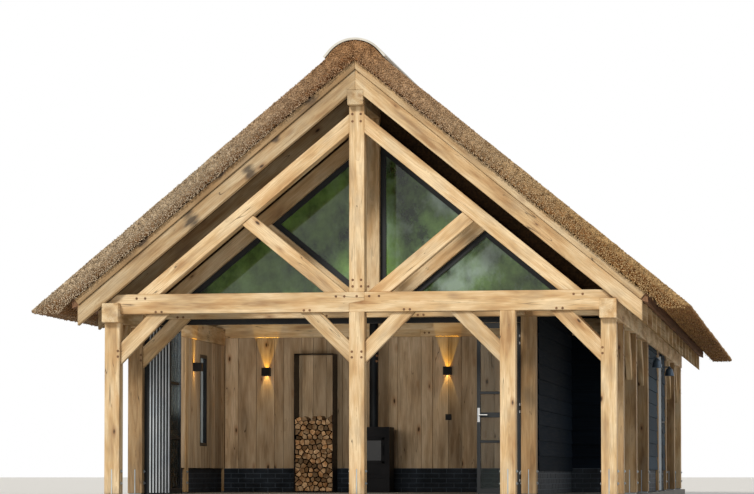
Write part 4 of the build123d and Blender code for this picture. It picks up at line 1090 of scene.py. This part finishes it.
rack_low, rack_high = solids("firewood_rack")[0]
PLATE, STACK_TOP = 0.011, 1.178
LOG_PITCH, LOG_LENGTH, ROW_RISE, NEIGHBOURS = 0.079, 0.3, 0.86, 0.24
left, right, base = rack_low.x + PLATE, rack_high.x - PLATE, rack_low.z + PLATE
seeds = []
row = 0
z = base + LOG_PITCH / 2
while z < STACK_TOP + 0.14:
    x = left + LOG_PITCH / 2 * (0.4 + row % 2)
    while x < right:
        seeds.append(Vector((x + rng.uniform(-0.026, 0.026), z + rng.uniform(-0.024, 0.024))))
        x += LOG_PITCH
    z += LOG_PITCH * ROW_RISE
    row += 1
roof = STACK_TOP + 0.2
logs = Build()
for seed in seeds:
    if seed.y > STACK_TOP + 0.03 * math.sin(seed.x * 23):
        continue
    cell = [Vector(p) for p in ((left, base), (right, base), (right, roof), (left, roof))]
    for other in seeds:
        if other is not seed and (other - seed).length < NEIGHBOURS:
            cell = clipped(cell, (seed + other) / 2, (other - seed).normalized())
    centre = sum(cell, Vector((0, 0))) / len(cell)
    share = rng.uniform(0.74, 0.91)
    cell = [centre + (p - centre) * share * rng.uniform(0.95, 1.02) for p in cell]
    start = rack_low.y + rng.uniform(0.005, 0.06)
    pith = centre + Vector((rng.uniform(-0.1, 0.1), rng.uniform(-0.1, 0.1)))
    shift = rng.uniform(0, 30)
    grain = [(shift + along, p.x - pith.x, p.y - pith.y) for along in (0, LOG_LENGTH) for p in cell]
    outline = [(p.x, start, p.y) for p in cell]
    prism(logs, outline, (0, LOG_LENGTH, 0), rng.uniform(0.0, 1.0), grain)
logs.make("split_logs", LOG, slot="oak")

# Stove front: door frame, glass, handle and air slots

AIR_SLOTS, SLOT_PITCH = 9, 0.04
low, high = solids("stove")[0]
middle = (low.x + high.x) / 2
stove_parts, pane = Build(), Build()
for left, right, base, top in (
    (-0.185, -0.145, 0.515, 0.885), (0.145, 0.185, 0.515, 0.885),
    (-0.185, 0.185, 0.85, 0.89), (-0.185, 0.185, 0.51, 0.55),
):
    slab(stove_parts, (middle + left, low.y - 0.006, base), (middle + right, low.y + 0.01, top))
slab(stove_parts, (middle + 0.15, low.y - 0.04, 0.62), (middle + 0.17, low.y - 0.02, 0.78), 0.004)
slab(stove_parts, (middle - 0.2, low.y - 0.004, 0.3), (middle + 0.2, low.y + 0.01, 0.36))
for k in range(AIR_SLOTS):
    left = middle - 0.17 + k * SLOT_PITCH
    slab(stove_parts, (left, low.y - 0.007, 0.315), (left + 0.02, low.y, 0.345), 0.001)
stove_parts.make("stove_door", IRON, slot="cast_iron")
slab(pane, (middle - 0.14, low.y + 0.001, 0.555), (middle + 0.14, low.y + 0.004, 0.845), 0.001)
pane.make("stove_pane", STOVE_GLASS, slot="glass")

# Side door: upright boards, a lock edge painted near white as painted light, and its keeps

joints = frame["record"]["behaviour"]["joints"]
hinge = next(joint for joint in joints if joint["name"] == "side_door_hinge")["pos_m"]
AJAR = 4
DOOR_FRONT, DOOR_BACK, DOOR_FACE = 1.048, 3.119, 3.167
DOOR_TOP = solids("side_door_frame")[0][1].z - 0.087
DOOR_BOARDS, BOARD_STEP, BOARD_WIDTH = 7, 0.1325, 0.1295
KEEPS = (1.946, 1.73, 1.07, 0.303)
door_boards, lock_edge = Build(), Build()
for k in range(DOOR_BOARDS):
    start = DOOR_FRONT + 0.006 + k * BOARD_STEP
    corner = (DOOR_FACE + 0.001, start, 0.116)
    other = (DOOR_FACE + 0.009, start + BOARD_WIDTH, DOOR_TOP - 0.004)
    slab(door_boards, corner, other, tone=rng.random(), along=2)
corner, other = (DOOR_BACK, DOOR_FRONT - 0.0012, 0.113), (DOOR_FACE, DOOR_FRONT + 0.002, DOOR_TOP - 0.003)
slab(lock_edge, corner, other, 0.001)
for z in KEEPS:
    slab(lock_edge, (3.13, DOOR_FRONT - 0.0025, z - 0.04), (3.156, DOOR_FRONT, z + 0.04), 0.0008)
turned(door_boards, hinge, AJAR)
turned(lock_edge, hinge, AJAR)
door_boards.make("side_door_boards", BLACK_WITH_PAINTED_SHADE, body="side_door", slot="black_boards")
lock_edge.make("side_door_edge", DOOR_EDGE_PAINTED_LIGHT, body="side_door", slot="steel")

# Floor, light and camera

ground = bpy.data.meshes.new("studio_floor")
FLOOR = 400
ground.from_pydata(
    [(-FLOOR, -FLOOR, 0), (FLOOR, -FLOOR, 0), (FLOOR, FLOOR, 0), (-FLOOR, FLOOR, 0)], [], [[0, 1, 2, 3]],
)
studio_floor = new_object("studio_floor", ground)
floor_mat, _, floor_shader = new_material("studio_floor", 0.9, specular=0.1)
floor_shader.inputs["Base Color"].default_value = lin(226, 224, 220)
ground.materials.append(floor_mat)
studio_floor.location.z = -0.002

world = bpy.data.worlds.new("studio")
bpy.context.scene.world = world
world.use_nodes = True
sky = world.node_tree
back = sky.nodes["Background"]
ray = add(sky, "ShaderNodeLightPath").outputs
direct = math_of(sky, "MAXIMUM", ray["Is Camera Ray"], ray["Is Transmission Ray"])
seen = math_of(sky, "MAXIMUM", direct, ray["Is Glossy Ray"])
back.inputs["Color"].default_value = (1.0, 1.0, 1.0, 1.0)
link(sky, level(sky, seen, 0.0, 1.0, 0.5, 1.0), back, "Strength")

key_light = lit("key_light", "SUN", 2.3, (1.0, 0.95, 0.86), (0.35, 1.0, -0.62))
key_light.data.angle = math.radians(12)
side_light = lit("side_light", "SUN", 0.5, (0.9, 0.95, 1.0), (-1.0, 0.5, -0.5))
side_light.data.angle = math.radians(40)
fill = lit("lounge_fill", "AREA", 78, (1.0, 0.96, 0.91), (-0.12, 1, -0.05), (-1.7, -5.9, 1.75))
fill.data.shape = "RECTANGLE"
fill.data.size, fill.data.size_y = 2.8, 1.2
fill.visible_camera = False
fill.visible_glossy = False

camera = bpy.data.cameras.new("photo_view")
camera.lens = 129.77
camera.sensor_width = 36
camera.shift_y = 0.17
camera.clip_end = 400
eye = new_object("photo_view", camera)
eye.location = (5.624, -40.795, 0.35)
eye.rotation_euler = (math.pi / 2 + 0.0367, 0, 0.1613)
bpy.context.scene.camera = eye
bpy.context.scene.view_settings.view_transform = "Standard"

bpy.context.view_layer.update()
